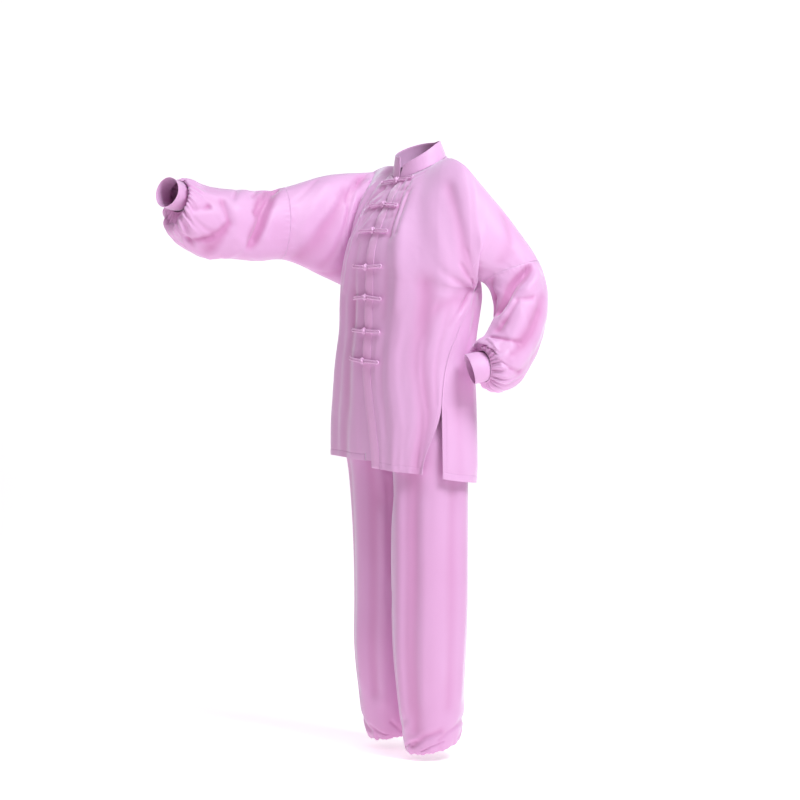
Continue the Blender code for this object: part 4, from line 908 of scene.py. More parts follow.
def sleeve_field(side, along, turn):
    end = ARM_AT[side]["along"][-1]
    seed = 8.0 + side
    field = fold_field(SLEEVE_FOLDS[side], along, turn % (2 * np.pi), 1.0, 0.062)
    field += fold_field(FINE_SLEEVE_FOLDS[side], along, turn % (2 * np.pi), 1.0, 0.062)
    field += UNEVEN * (gathers(turn, 5, seed) + gathers(turn + 14 * along, 3, seed + 1)) * 0.5
    field *= ease((along - SEAM_ALONG[side]) / 0.02) * ease((end - along) / 0.03)
    left = end - along
    field += 0.0019 * gathers(turn, FINE_GATHERS, seed) * ease(left / 0.003) * (1 - ease((left - 0.004) / 0.026))
    field += 0.0030 * gathers(turn, GATHERS, seed + 1) * ease(left / 0.008) * (1 - ease((left - 0.012) / 0.045))
    field += 0.0020 * gathers(turn, 9, seed + 2) * ease((left - 0.01) / 0.03) * (1 - ease((left - 0.04) / 0.07))
    field += 0.0050 * np.exp(-(((left - 0.024) / 0.016) ** 2))
    from_seam = along - SEAM_ALONG[side]
    puckers = 0.5 + 0.5 * gathers(turn, 40, seed)
    field -= PUCKER * puckers * np.exp(-((from_seam / 0.012) ** 2)) * ease(from_seam / 0.002)
    field -= 0.0021 * (1 - ease(left / 0.009))
    return field


def sleeve_point(side, along, turn):
    """Lower sleeve with its folds and the gathers at the cuff."""
    along, turn = np.broadcast_arrays(np.asarray(along, float), np.asarray(turn, float))
    here = arm_point(side, along, turn)
    inside = arm_point(side, along, turn + np.pi)
    lengthways = arm_point(side, along + 0.002, turn) - arm_point(side, along - 0.002, turn)
    crossways = arm_point(side, along, turn + 0.02) - arm_point(side, along, turn - 0.02)
    out = unit(np.cross(lengthways, crossways))
    facing = np.sign(np.sum(out * (here - inside), axis=-1, keepdims=True))
    return here + out * facing * sleeve_field(side, along, turn)[..., None]


SIDE_NAMES = {LEFT: "left", RIGHT: "right"}

# Fastenings: height of the knot on the centre line, then how far each arm's end lies above it.
FROG_COLUMNS = ("height", "arm_right", "arm_left")
FROGS = (
    (1.372, -0.001, 0.004),
    (1.315, 0.000, -0.006),
    (1.254, 0.002, -0.004),
    (1.171, 0.005, 0.000),
    (1.103, 0.000, -0.006),
    (1.026, 0.004, -0.004),
    (0.958, 0.008, -0.004),
)
FROG_REACH = 0.050
WAIST_HEIGHT = 1.000
WAISTBAND = 0.038
FROG_SPREAD = 0.0030
CORD = 0.0019
KNOT = 0.0062
FROG_LIFT = 0.0016
BAND_WIDTH = 0.024
BAND_WALL = 0.0010



def offset_out(points, distance):
    """Moves a grid of points out along its own normals, away from the body's middle."""
    across = np.gradient(points, axis=1)
    down = np.gradient(points, axis=0)
    normal = unit(np.cross(across, down))
    middle = np.array([0.0, -0.02, 0.0]) - points * np.array([1.0, 1.0, 0.0])
    facing = np.sign(np.sum(normal * middle, axis=-1, keepdims=True))
    return points - normal * facing * distance


def front_finder(side):
    """Works out where on a front panel a place lies, from its distance across and its height."""
    u = np.linspace(0.0, 0.62, 63)
    w = np.linspace(0.0, 2.0, 161)
    net = sheet_point(side, FRONT, u[None, :], w[:, None])
    heights = net[..., 2] + NECK_HEIGHT

    def find(x, height):
        w_at = np.array([np.interp(-height, -heights[:, k], w) for k in range(len(u))])
        x_at = np.array([np.interp(w_at[k], w, net[:, k, 0]) for k in range(len(u))])
        u_at = np.interp(side * x, side * x_at, u)
        return u_at, np.interp(u_at, u, w_at)

    return find


FIND = {side: front_finder(side) for side in (LEFT, RIGHT)}


def on_front(side, x, height, lift):
    """Points on a front panel at distances across and heights, moved out of its cloth by a lift."""
    step = 0.004
    places = []
    for dx, dh in ((0.0, 0.0), (step, 0.0), (-step, 0.0), (0.0, step), (0.0, -step)):
        places += [FIND[side](some_x + dx, some_height + dh) for some_x, some_height in zip(x, height)]
    u, w = np.array(places, float).T
    near = sheet_point(side, FRONT, u, w).reshape(5, len(x), 3)
    normal = unit(np.cross(near[1] - near[2], near[3] - near[4]))
    return near[0] + normal * lift * np.where(normal[:, 1:2] < 0, 1.0, -1.0)


# The looks.
CLOTH = (0.83, 0.455, 0.750)
# The trousers' cloth is the jacket's satin painted darker, as painted shade on the legs under less light.
TROUSER_CLOTH_PAINTED_SHADE = (0.78, 0.405, 0.690)
# Deep colour: shade painted into the fold troughs, and also the tone of random patches.
CLOTH_PAINTED_SHADE_AND_TONE = (0.60, 0.17, 0.42)
# The front band is the jacket's satin painted a little lighter, as a painted highlight on its raised edge.
BAND_COLOR_PAINTED_HIGHLIGHT = (0.87, 0.465, 0.765)
CORD_COLOR = (0.93, 0.54, 0.84)
THREAD = (0.74, 0.38, 0.66)
CLOTH_WALL = 0.0008
FOCAL = 1940.0
FRAME_WIDTH = 800.0
CAMERA_ANGLE = 50.0
CAMERA_DISTANCE = 4.5
CAMERA_ASIDE = -0.042
CAMERA_HEIGHT = 0.87

COLLECTION = bpy.data.collections.new("tai_chi_uniform_looks")
bpy.context.scene.collection.children.link(COLLECTION)


def linked(tree, kind, **settings):
    node = tree.nodes.new(kind)
    for name, value in settings.items():
        setattr(node, name, value)
    return node


def cloth_look(name, color, deep, weave=1.0):
    """Thin satin weave: fine crossed threads, soft sheen, shade painted into the fold troughs as a deeper colour, and
    small unevenness.
    """
    material = bpy.data.materials.new(name)
    material.use_nodes = True
    tree = material.node_tree
    shader = tree.nodes["Principled BSDF"]
    shader.inputs["Specular IOR Level"].default_value = 0.42
    shader.inputs["Sheen Weight"].default_value = 0.72
    shader.inputs["Sheen Roughness"].default_value = 0.45
    shader.inputs["Sheen Tint"].default_value = (0.90, 1.0, 1.0, 1.0)
    place = linked(tree, "ShaderNodeUVMap", uv_map="cloth")
    threads = []
    for direction, scale in (("X", 500.0), ("Y", 430.0)):
        wave = linked(tree, "ShaderNodeTexWave", wave_type="BANDS", bands_direction=direction)
        wave.inputs["Scale"].default_value = scale
        wave.inputs["Distortion"].default_value = 1.2
        wave.inputs["Detail"].default_value = 1.0
        tree.links.new(place.outputs["UV"], wave.inputs["Vector"])
        threads.append(wave)
    crossed = linked(tree, "ShaderNodeMath", operation="ADD")
    tree.links.new(threads[0].outputs["Fac"], crossed.inputs[0])
    tree.links.new(threads[1].outputs["Fac"], crossed.inputs[1])
    where = linked(tree, "ShaderNodeTexCoord")
    crumple = linked(tree, "ShaderNodeTexNoise")
    crumple.inputs["Scale"].default_value = 38.0
    crumple.inputs["Detail"].default_value = 3.0
    crumple.inputs["Roughness"].default_value = 0.55
    tree.links.new(where.outputs["Object"], crumple.inputs["Vector"])
    fine = linked(tree, "ShaderNodeBump")
    fine.inputs["Strength"].default_value = 0.10 * weave
    fine.inputs["Distance"].default_value = 0.0002
    tree.links.new(crossed.outputs[0], fine.inputs["Height"])
    soft = linked(tree, "ShaderNodeBump")
    soft.inputs["Strength"].default_value = 0.20
    soft.inputs["Distance"].default_value = 0.0016
    tree.links.new(crumple.outputs["Fac"], soft.inputs["Height"])
    tree.links.new(fine.outputs["Normal"], soft.inputs["Normal"])
    tree.links.new(soft.outputs["Normal"], shader.inputs["Normal"])
    patches = linked(tree, "ShaderNodeTexNoise")
    patches.inputs["Scale"].default_value = 5.0
    patches.inputs["Detail"].default_value = 2.0
    tree.links.new(where.outputs["Object"], patches.inputs["Vector"])
    # The deep colour is painted shade in the fold troughs; the noise patches add a random unevenness of tone.
    painted_fold_shade = linked(tree, "ShaderNodeAttribute", attribute_name="painted_fold_shade")
    spread = linked(tree, "ShaderNodeMapRange")
    spread.inputs["From Min"].default_value = 0.35
    spread.inputs["From Max"].default_value = 0.70
    spread.inputs["To Min"].default_value = 0.0
    spread.inputs["To Max"].default_value = 0.10
    tree.links.new(patches.outputs["Fac"], spread.inputs["Value"])
    total = linked(tree, "ShaderNodeMath", operation="ADD", use_clamp=True)
    tree.links.new(painted_fold_shade.outputs["Fac"], total.inputs[0])
    tree.links.new(spread.outputs["Result"], total.inputs[1])
    mix = linked(tree, "ShaderNodeMix", data_type="RGBA")
    mix.inputs[6].default_value = (*color, 1.0)
    mix.inputs[7].default_value = (*deep, 1.0)
    tree.links.new(total.outputs[0], mix.inputs[0])
    tree.links.new(mix.outputs[2], shader.inputs["Base Color"])
    gloss = linked(tree, "ShaderNodeMapRange")
    gloss.inputs["From Min"].default_value = 0.3
    gloss.inputs["From Max"].default_value = 0.7
    gloss.inputs["To Min"].default_value = 0.42
    gloss.inputs["To Max"].default_value = 0.54
    tree.links.new(crumple.outputs["Fac"], gloss.inputs["Value"])
    tree.links.new(gloss.outputs["Result"], shader.inputs["Roughness"])
    return material


def cord_look(name, color):
    """Rolled bias cord: fine diagonal ribs, with shade painted into the grooves between them, and a soft sheen."""
    material = bpy.data.materials.new(name)
    material.use_nodes = True
    tree = material.node_tree
    shader = tree.nodes["Principled BSDF"]
    shader.inputs["Roughness"].default_value = 0.48
    shader.inputs["Sheen Weight"].default_value = 0.25
    place = linked(tree, "ShaderNodeUVMap", uv_map="cloth")
    wave = linked(tree, "ShaderNodeTexWave", wave_type="BANDS", bands_direction="DIAGONAL")
    wave.inputs["Scale"].default_value = 260.0
    wave.inputs["Distortion"].default_value = 0.6
    tree.links.new(place.outputs["UV"], wave.inputs["Vector"])
    bump = linked(tree, "ShaderNodeBump")
    bump.inputs["Strength"].default_value = 0.35
    bump.inputs["Distance"].default_value = 0.0003
    tree.links.new(wave.outputs["Fac"], bump.inputs["Height"])
    tree.links.new(bump.outputs["Normal"], shader.inputs["Normal"])
    # The grooves between the ribs are painted darker, as painted shade.
    mix = linked(tree, "ShaderNodeMix", data_type="RGBA")
    mix.inputs[6].default_value = (*[0.86 * c for c in color], 1.0)
    mix.inputs[7].default_value = (*color, 1.0)
    tree.links.new(wave.outputs["Fac"], mix.inputs[0])
    tree.links.new(mix.outputs[2], shader.inputs["Base Color"])
    return material


JACKET = cloth_look("jacket_satin", CLOTH, CLOTH_PAINTED_SHADE_AND_TONE)
# Trouser satin: a darker copy of the jacket's satin, painted shade.
TROUSER_SATIN_PAINTED_SHADE = cloth_look("trouser_satin_painted_shade", TROUSER_CLOTH_PAINTED_SHADE, CLOTH_PAINTED_SHADE_AND_TONE)
# Band satin: a lighter copy of the jacket's satin, painted highlight.
BAND_SATIN_PAINTED_HIGHLIGHT = cloth_look("band_satin_painted_highlight", BAND_COLOR_PAINTED_HIGHLIGHT, CLOTH_PAINTED_SHADE_AND_TONE)
CORDS = cord_look("corded_satin", CORD_COLOR)
THREADS = cord_look("sewing_thread", THREAD)


def lengths(points):
    """Distance run along a row of points."""
    return np.concatenate([[0.0], np.cumsum(np.linalg.norm(np.diff(points, axis=0), axis=1))])


def patch(points, field=None, closed=False, soft=None):
    """One stretch of cloth: a grid of points, how deep each lies in a fold, which sets the shade painted into its
    troughs, and where it may be smoothed.
    """
    shape = points.shape[:2]
    field = np.zeros(shape) if field is None else np.broadcast_to(field, shape)
    soft = np.zeros(shape) if soft is None else np.broadcast_to(soft, shape)
    return points, field, closed, soft


def cloth_object(name, patches, outward, material, wall=CLOTH_WALL, relax=0, rim=0.0):
    """A cloth piece from its patches, thickened inwards. Its UVs are metres of cloth."""
    points = []
    faces = []
    uvs = []
    painted_fold_shades = []
    softs = []
    count = 0
    for net, field, closed, soft in patches:
        rows, cols = net.shape[:2]
        across = lengths(np.vstack([net[rows // 2], net[rows // 2][:1]]))
        down = lengths(net[:, cols // 2])
        flat, some = grid(net, closed)
        points.append(flat)
        # Shade painted into the folds: the deeper a place lies in a trough, the more of the deep colour it takes.
        painted_fold_shades.append(np.clip(-field / 0.009, 0.0, 0.60).reshape(-1))
        softs.append(soft.reshape(-1))
        for j, face in enumerate(some):
            wide = cols if closed else cols - 1
            row, col = divmod(j, wide)
            uvs += [across[col], down[row], across[col + 1], down[row]]
            uvs += [across[col + 1], down[row + 1], across[col], down[row + 1]]
            faces.append(tuple(k + count for k in face))
        count += len(flat)
    mesh = bpy.data.meshes.new(name)
    mesh.from_pydata(np.vstack(points).tolist(), [], faces)
    mesh.uv_layers.new(name="cloth").data.foreach_set("uv", np.array(uvs, np.float32))
    for label, values in (("painted_fold_shade", painted_fold_shades), ("soft", softs)):
        layer = mesh.attributes.new(label, "FLOAT", "POINT")
        layer.data.foreach_set("value", np.concatenate(values).astype(np.float32))
    work = bmesh.new()
    work.from_mesh(mesh)
    bmesh.ops.remove_doubles(work, verts=work.verts, dist=0.00005)
    bmesh.ops.recalc_face_normals(work, faces=work.faces)
    work.faces.ensure_lookup_table()
    outward = Vector(outward)
    nearest = min(work.faces, key=lambda face: (face.calc_center_median() - outward).length)
    if nearest.normal.dot(outward - nearest.calc_center_median()) < 0:
        bmesh.ops.reverse_faces(work, faces=work.faces)
    marked = work.verts.layers.float["soft"]
    inner = [v for v in work.verts if v[marked] > 0.5 and not v.is_boundary]
    for _ in range(relax):
        bmesh.ops.smooth_vert(work, verts=inner, factor=0.5, use_axis_x=True, use_axis_y=True, use_axis_z=True)
    work.to_mesh(mesh)
    work.free()
    mesh.attributes.remove(mesh.attributes["soft"])
    mesh.shade_smooth()
    mesh.materials.append(material)
    piece = bpy.data.objects.new(name, mesh)
    COLLECTION.objects.link(piece)
    thick = piece.modifiers.new("wall", "SOLIDIFY")
    thick.thickness = wall
    thick.offset = -1.0
    thick.use_even_offset = False
    if rim:
        round_off = piece.modifiers.new("rim", "BEVEL")
        round_off.width = rim
        round_off.segments = 2
        round_off.limit_method = "ANGLE"
        round_off.angle_limit = math.radians(55)
    return piece


def tube(path, radius, sides=8, closed=False):
    """A round cord along a path, as points, faces and UVs."""
    path = np.asarray(path, float)
    if closed:
        ways = unit(np.roll(path, -1, axis=0) - np.roll(path, 1, axis=0))
    else:
        ways = unit(np.gradient(path, axis=0))
    across = np.cross(ways[0], (0.3, 0.2, 1.0))
    rings = []
    for point, way in zip(path, ways):
        across = unit(across - np.dot(across, way) * way)
        other = np.cross(way, across)
        turn = np.linspace(0.0, 2 * np.pi, sides, endpoint=False)[:, None]
        rings.append(point + radius * (across * np.cos(turn) + other * np.sin(turn)))
    rings = np.array(rings)
    if closed:
        rings = np.concatenate([rings, rings[:1]])
    return rings


def cord_object(name, tubes, material):
    """Several cords as one joined piece. Open ones have their ends closed."""
    points = []
    faces = []
    uvs = []
    count = 0
    for rings, radius in tubes:
        rows, cols = rings.shape[:2]
        run = lengths(rings.mean(axis=1))
        around = np.linspace(0.0, 2 * np.pi * radius, cols + 1)
        flat, some = grid(rings, True)
        for j, face in enumerate(some):
            row, col = divmod(j, cols)
            uvs += [around[col], run[row], around[col + 1], run[row]]
            uvs += [around[col + 1], run[row + 1], around[col], run[row + 1]]
            faces.append(tuple(k + count for k in face))
        for ring in (list(range(cols))[::-1], list(range((rows - 1) * cols, rows * cols))):
            faces.append(tuple(k + count for k in ring))
            uvs += [0.0, 0.0] * cols
        points.append(flat)
        count += len(flat)
    mesh = bpy.data.meshes.new(name)
    mesh.from_pydata(np.vstack(points).tolist(), [], faces)
    mesh.uv_layers.new(name="cloth").data.foreach_set("uv", np.array(uvs, np.float32))
    mesh.shade_smooth()
    mesh.materials.append(material)
    piece = bpy.data.objects.new(name, mesh)
    COLLECTION.objects.link(piece)
    return piece


def even_steps(points, pitch):
    """Places one pitch apart along a row of points, with the way that the row runs there."""
    run = lengths(points)
    stops = np.arange(0.5 * pitch, run[-1], pitch)
    at = np.stack([np.interp(stops, run, points[:, k]) for k in range(3)], axis=1)
    ahead = np.stack([np.interp(stops + 0.001, run, points[:, k]) for k in range(3)], axis=1)
    behind = np.stack([np.interp(stops - 0.001, run, points[:, k]) for k in range(3)], axis=1)
    return at, unit(ahead - behind)


STITCH_PITCH = 0.0036
STITCH = (0.0024, 0.00045, 0.00030)


def stitch_object(name, rows):
    """Sewn stitches along rows of points, each with its outward normals, as one joined piece."""
    points = []
    faces = []
    corners = [(-1, -1, -1), (1, -1, -1), (1, 1, -1), (-1, 1, -1), (-0.7, -0.6, 1), (0.7, -0.6, 1), (0.7, 0.6, 1), (-0.7, 0.6, 1)]
    sides = [(3, 2, 1, 0), (4, 5, 6, 7), (0, 1, 5, 4), (1, 2, 6, 5), (2, 3, 7, 6), (3, 0, 4, 7)]
    for line, out in rows:
        at, way = even_steps(line, STITCH_PITCH)
        run = lengths(line)
        stops = np.arange(0.5 * STITCH_PITCH, run[-1], STITCH_PITCH)
        up = unit(np.stack([np.interp(stops, run, out[:, k]) for k in range(3)], axis=1))
        over = unit(np.cross(up, way))
        for p, w, u, o in zip(at, way, up, over):
            base = len(points)
            for x, y, z in corners:
                points.append(p + w * x * STITCH[0] / 2 + o * y * STITCH[1] / 2 + u * (z * STITCH[2] / 2 + 0.00005))
            faces += [tuple(k + base for k in side) for side in sides]
    mesh = bpy.data.meshes.new(name)
    mesh.from_pydata([tuple(p) for p in points], [], faces)
    mesh.uv_layers.new(name="cloth")
    mesh.materials.append(THREADS)
    piece = bpy.data.objects.new(name, mesh)
    COLLECTION.objects.link(piece)
    return piece


def row_with_normals(point, a, b, outward):
    """A row of points on a surface and its normals there, turned towards the side that outward gives."""
    a, b = np.broadcast_arrays(np.asarray(a, float), np.asarray(b, float))
    line = point(a, b)
    across = point(a + 0.004, b) - point(a - 0.004, b)
    along = point(a, b + 0.004) - point(a, b - 0.004)
    out = unit(np.cross(across, along))
    facing = np.sign(np.sum(out * (line - outward), axis=-1, keepdims=True))
    return line, out * facing


def packed(first, last, count, near_end, fine):
    """Places from first to last, closer together near the end."""
    plain = np.linspace(first, last - near_end, count)
    return np.concatenate([plain, np.linspace(last - near_end, last, fine + 1)[1:]])


def body_patches(side):
    patches = []
    u = np.concatenate([np.linspace(0.0, 0.93, 71), np.linspace(0.93, 1.0, 13)[1:]])
    arm_end = (SEAM_ALONG[side] - 0.5 * SEAM_GAP) / PANEL_SPAN
    arm_u = 1.0 + packed(0.0, arm_end, 42 if side == RIGHT else 36, 0.05, 10)
    upper = np.linspace(0.0, 1.0, 101)
    lower = packed(1.0, 2.0, 96, 0.06, 22)
    w = np.concatenate([upper, lower[1:]])
    if side == RIGHT:
        patches.append(patch(underlap_point(np.linspace(1.0, 0.0, 9)[None, :], w[:, None])))
    for face in (FRONT, BACK):
        for across, down in ((u, w), (arm_u, upper)):
            net = sheet_point(side, face, across[None, :], down[:, None])
            field = sheet_field(side, face, *np.broadcast_arrays(across[None, :], down[:, None]))
            shoulder = (down[:, None] < 0.07) & (across[None, :] > NECK_SHARE * 0.9)
            root = (np.abs(across[None, :] - 1.0) < 0.12) & (down[:, None] < 0.83) & (down[:, None] > 0.20)
            chest_side = (np.abs(across[None, :] - 0.50) < 0.09) & (down[:, None] < 0.75) & (down[:, None] > 0.02)
            root = root | chest_side
            waist = (np.abs(down[:, None] - 1.0) < 0.035) & (across[None, :] > 0.5) & (across[None, :] < 0.99)
            # This fold field only sets the shade painted into the troughs, at 0.6 of its depth.
            patches.append(patch(net, 0.6 * field, soft=(shoulder | root | waist).astype(float)))
    return patches


def body_stitches(side):
    rows = []
    w_side = np.linspace(1.66, 2.0 - HEM_DEPTH / 0.42, 60)
    for face in (FRONT, BACK):
        u = np.linspace(0.005, 1.0 - EDGE_TURN / PANEL_SPAN, 90)

        def point(a, b, face=face):
            return sheet_point(side, face, a, b)

        middle = np.array([0.0, -0.02, -0.6])
        rows.append(row_with_normals(point, u, np.full(len(u), 2.0 - HEM_DEPTH / 0.42), middle))
        rows.append(row_with_normals(point, np.full(len(w_side), 1.0 - EDGE_TURN / PANEL_SPAN), w_side, middle))
    return rows


def sleeve_net(side, start, count=92, around=216):
    end = ARM_AT[side]["along"][-1]
    steps = np.linspace(0.0, 1.0, count)
    along = start + (end - start) * (1 - (1 - steps) ** 1.45)
    turn = np.linspace(0.0, 2 * np.pi, around, endpoint=False)
    return along[:, None], turn[None, :]


CUFF_TUCK = 0.004


def cuff_net(side, around=120, rows=13):
    """The cuff's outer face as rings of points, as on the solid but finer, with a hem line at each edge."""
    path, ways, tops, fronts = FRAMES[side]
    turn = np.linspace(0.0, 2 * np.pi, around, endpoint=False)[:, None]
    middle = path[-1] - ways[-1] * CUFF_TUCK
    wide, high = CUFF_RADII[side]
    rings = []
    steps = np.linspace(0.0, 1.0, rows)
    for step in steps:
        way = unit(ways[-1] + (np.array(CUFF_TURN[side]) - ways[-1]) * ease(step * 1.4))
        top = unit(tops[-1] - np.dot(tops[-1], way) * way)
        front = side * np.cross(way, top)
        size = 1 + (CUFF_FLARE - 1) * step + 0.012 * np.cos(3 * turn + 2 * step) * step
        size = size - 0.030 * (1 - ease(step / 0.25)) - 0.020 * gathers(turn, FINE_GATHERS, 2.0) * (1 - ease(step / 0.35))
        rings.append(middle + (top * wide * np.cos(turn) + front * high * np.sin(turn)) * size)
        middle = middle + way * (CUFF_LENGTH[side] + CUFF_GAP + CUFF_TUCK) * steps[1]
    return np.array(rings)


def collar_net(columns=150, rows=17):
    share = np.linspace(0.0, 1.0, columns)[None, :]
    rise = np.linspace(0.0, 1.0, rows)[:, None]
    first = COLLAR_END + COLLAR_V[LEFT] * rise ** 1.5
    last = COLLAR_END + COLLAR_V[RIGHT] * rise ** 1.5
    angle = (-90.0 + first) + (360.0 - first - last) * share
    low = neck_ring(LEFT, angle)
    turn = np.radians(angle)
    inward = np.stack([-np.cos(turn), -np.sin(turn), 0.0 * turn], axis=-1)
    height = spline(COLLAR_AT["angle"], COLLAR_AT["height"], angle.ravel()).reshape(angle.shape)
    lift = 0.0004 + rise * height
    lean = (COLLAR_LEAN + COLLAR_LEAN_BACK * np.sin(turn)) * rise
    soft = 0.0011 * np.sin(np.pi * rise) * uneven(turn * 0.06, rise * 0.02, 0.045, 3.0)
    soft = soft - 0.0005 * np.exp(-(((rise - 0.88) / 0.03) ** 2)) - 0.0006 * np.exp(-((rise / 0.06) ** 2))
    return low + np.array([0.0, 0.0, 1.0]) * lift[..., None] + inward * (lean - soft)[..., None]


def band_net():
    share = np.linspace(0.0, 1.0, 19)
    rows = np.concatenate([np.linspace(0.004, 1.0, 110), 1 + np.linspace(0.0, 0.998, 110)[1:]])
    across = np.linspace(0.0, 0.3, 31)
    lines = sheet_point(LEFT, FRONT, across[None, :], rows[:, None])
    points = []
    for w, line in zip(rows, lines):
        u = np.interp(share * BAND_WIDTH, lengths(line), across)
        points.append(sheet_point(LEFT, FRONT, u, np.full(len(u), w)))
    points = np.array(points)
    edge = 0.0004 * np.exp(-(((share - 0.5) / 0.30) ** 4))
    groove = 0.0004 * (np.exp(-(((share - 0.10) / 0.03) ** 2)) + np.exp(-(((share - 0.90) / 0.03) ** 2)))
    pull = 0.0005 * uneven(share[None, :] * 0.02, rows[:, None] * 0.32, 0.021, 4.0)
    rise = (edge - groove)[None, :] + pull * np.sin(np.pi * share)[None, :]
    outer = offset_out(points, BAND_WALL + 0.0004)
    return outer + unit(outer - points) * rise[..., None]


def leg_net(side):
    order = len(LEG_AT["height"]) - 1
    steps = np.concatenate([np.linspace(0.0, 3.2, 62), np.linspace(3.2, order, 112)[1:]])
    share = np.linspace(0.0, 1.0, 176)
    return steps[:, None], share[None, :]


def waist_net():
    turn = np.linspace(0.0, 2 * np.pi, 240, endpoint=False)[None, :]
    steps = np.linspace(0.0, 1.0, 15)[:, None]
    size = 1 + 0.010 * gathers(turn, 34, 1.0) - 0.006 * np.cos(4 * np.pi * steps) ** 2
    x = LEG_AT["half"][-1] * np.cos(turn) * size
    y = np.where(np.sin(turn) < 0, LEG_AT["front"][-1], LEG_AT["back"][-1]) * np.sin(turn) * size
    return placed(x, y + LEG_AT["left_y"][-1], WAIST_HEIGHT + 0.0008 + WAISTBAND * steps)


def frog_arm(side, height, rise):
    """The folded cord of one arm. On the right it ends in the loop that goes round the knot."""
    lift = FROG_LIFT + CORD + 0.0003 + (BAND_WALL + 0.0006)
    inner = 0.0088
    reach = FROG_REACH
    upper = [(x, FROG_SPREAD * 0.72) for x in np.linspace(inner, reach - 0.004, 9)]
    bend = [(reach - 0.004 + 0.0056 * math.sin(t), 0.0034 * math.cos(t)) for t in np.linspace(0.25, math.pi - 0.25, 7)]
    lower = [(x, -y) for x, y in upper[::-1]]
    path = upper + bend + lower
    if side == RIGHT:
        loop = [(KNOT * 1.12 * math.cos(t) + 0.0016, KNOT * 1.05 * math.sin(t)) for t in np.linspace(0.62, math.pi - 0.3, 9)]
        path = [(x, y) for x, y in loop[::-1]] + path + [(x, -y) for x, y in loop]
    x, up = np.array(path).T
    share = np.clip((x - inner) / (reach - inner), 0.0, 1.0)
    heights = height + rise * share + up
    own = x > 0.0012
    points = np.zeros((len(x), 3))
    points[own] = on_front(side, side * x[own], heights[own], lift)
    if not own.all():
        points[~own] = on_front(-side, side * x[~own] - side * 0.0012, heights[~own], lift)
    run = lengths(points)
    kept = np.concatenate([[True], np.diff(run) > 0.0002])
    return spline(run[kept], points[kept], np.linspace(0.0, run[-1], 60))


def knot_tubes(middle):
    """A ball knot: one cord woven round a small core."""
    t = np.linspace(0.0, 2 * np.pi, 180, endpoint=False)
    around = 3 * t
    tilt = 0.95 * np.sin(5 * t)
    out = (KNOT - 0.0011) + 0.0007 * np.cos(15 * t)
    weave = np.stack([np.cos(around) * np.cos(tilt), np.sin(tilt) * 0.95, np.sin(around) * np.cos(tilt)], axis=1)
    core_rows = np.linspace(-0.99, 0.99, 12)
    turn = np.linspace(0.0, 2 * np.pi, 16, endpoint=False)[None, :]
    wide = np.sqrt(1 - core_rows ** 2)[:, None]
    core = np.stack([wide * np.cos(turn), core_rows[:, None] + 0.0 * turn, wide * np.sin(turn)], axis=-1) * (KNOT - 0.0012)
    flatten = np.array([1.0, 0.85, 1.0])
    return [(tube(middle + weave * out[:, None] * flatten, 0.00125, 8, True), 0.00125), (middle + core * flatten, 0.003)]


PIECES = []


def place(piece, node, slot, area=None, flat=None, held="draped", rests_on=(), with_pieces=()):
    """Puts a finished piece in the frame: it rides on the body and stands for its solid."""
    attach(piece, "root")
    if node:
        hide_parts(node)
    PIECES.append(piece)
    return piece


# What each piece is cut to: width, length and flat area, in metres.
CUTS = {
    "body": {LEFT: (0.53, 1.45, 0.41), RIGHT: (0.60, 1.45, 0.48)},
    "sleeve": {LEFT: (0.42, 0.31, 0.108), RIGHT: (0.53, 0.27, 0.130)},
    "cuff": {LEFT: (0.22, 0.040, None), RIGHT: (0.23, 0.048, None)},
    "leg": {LEFT: (0.58, 0.95, 0.48), RIGHT: (0.58, 0.95, 0.48)},
    "collar": (0.38, 0.043, None),
    "band": (0.024, 0.70, None),
    "waistband": (0.80, 0.038, None),
}

for side in (LEFT, RIGHT):
    label = SIDE_NAMES[side]
    sewn = stitch_object("hem_stitches_" + label, body_stitches(side))
    place(sewn, None, "jacket_cloth")
    body = cloth_object("jacket_body_" + label, body_patches(side), (side * 0.10, -1.0, -0.40), JACKET, relax=30)
    wide, long, area = CUTS["body"][side]
    place(body, "body_" + label, "jacket_cloth", area, (wide, long), "draped", ("leg_left", "leg_right", "waistband"), (sewn,))
    along, turn = sleeve_net(side, SEAM_ALONG[side] + 0.5 * SEAM_GAP)
    net = sleeve_point(side, along, turn)
    # The sleeve's fold field only sets the shade painted into its troughs.
    field = sleeve_field(side, *np.broadcast_arrays(along, turn))
    over = FRAMES[side][0][4] + np.array([0.0, 0.0, 1.0])
    sleeve = cloth_object("jacket_sleeve_" + label, [patch(net, field, True)], over, JACKET)
    wide, long, area = CUTS["sleeve"][side]
    place(sleeve, "sleeve_" + label, "jacket_cloth", area, (wide, long), "gathered", ("body_" + label, "cuff_" + label))
    over = FRAMES[side][0][-1] + np.array([0.0, 0.0, 1.0])
    cuff = cloth_object("jacket_cuff_" + label, [patch(cuff_net(side), None, True)], over, JACKET, 0.0014, 0, 0.0004)
    wide, long, area = CUTS["cuff"][side]
    place(cuff, "cuff_" + label, "jacket_cloth", area, (wide, long), "laid", ("sleeve_" + label,))
    rows, share = leg_net(side)
    net = leg_point(side, rows, share)
    field = leg_field(side, *np.broadcast_arrays(rows, share))
    # The leg's fold field only sets the shade painted into its troughs, at 0.6 of its depth.
    leg = cloth_object("trouser_leg_" + label, [patch(net, 0.6 * field)], (side * 1.0, -0.03, -0.90), TROUSER_SATIN_PAINTED_SHADE)
    wide, long, area = CUTS["leg"][side]
    place(leg, "leg_" + label, "trouser_cloth", area, (wide, long), "hung", ("waistband",))

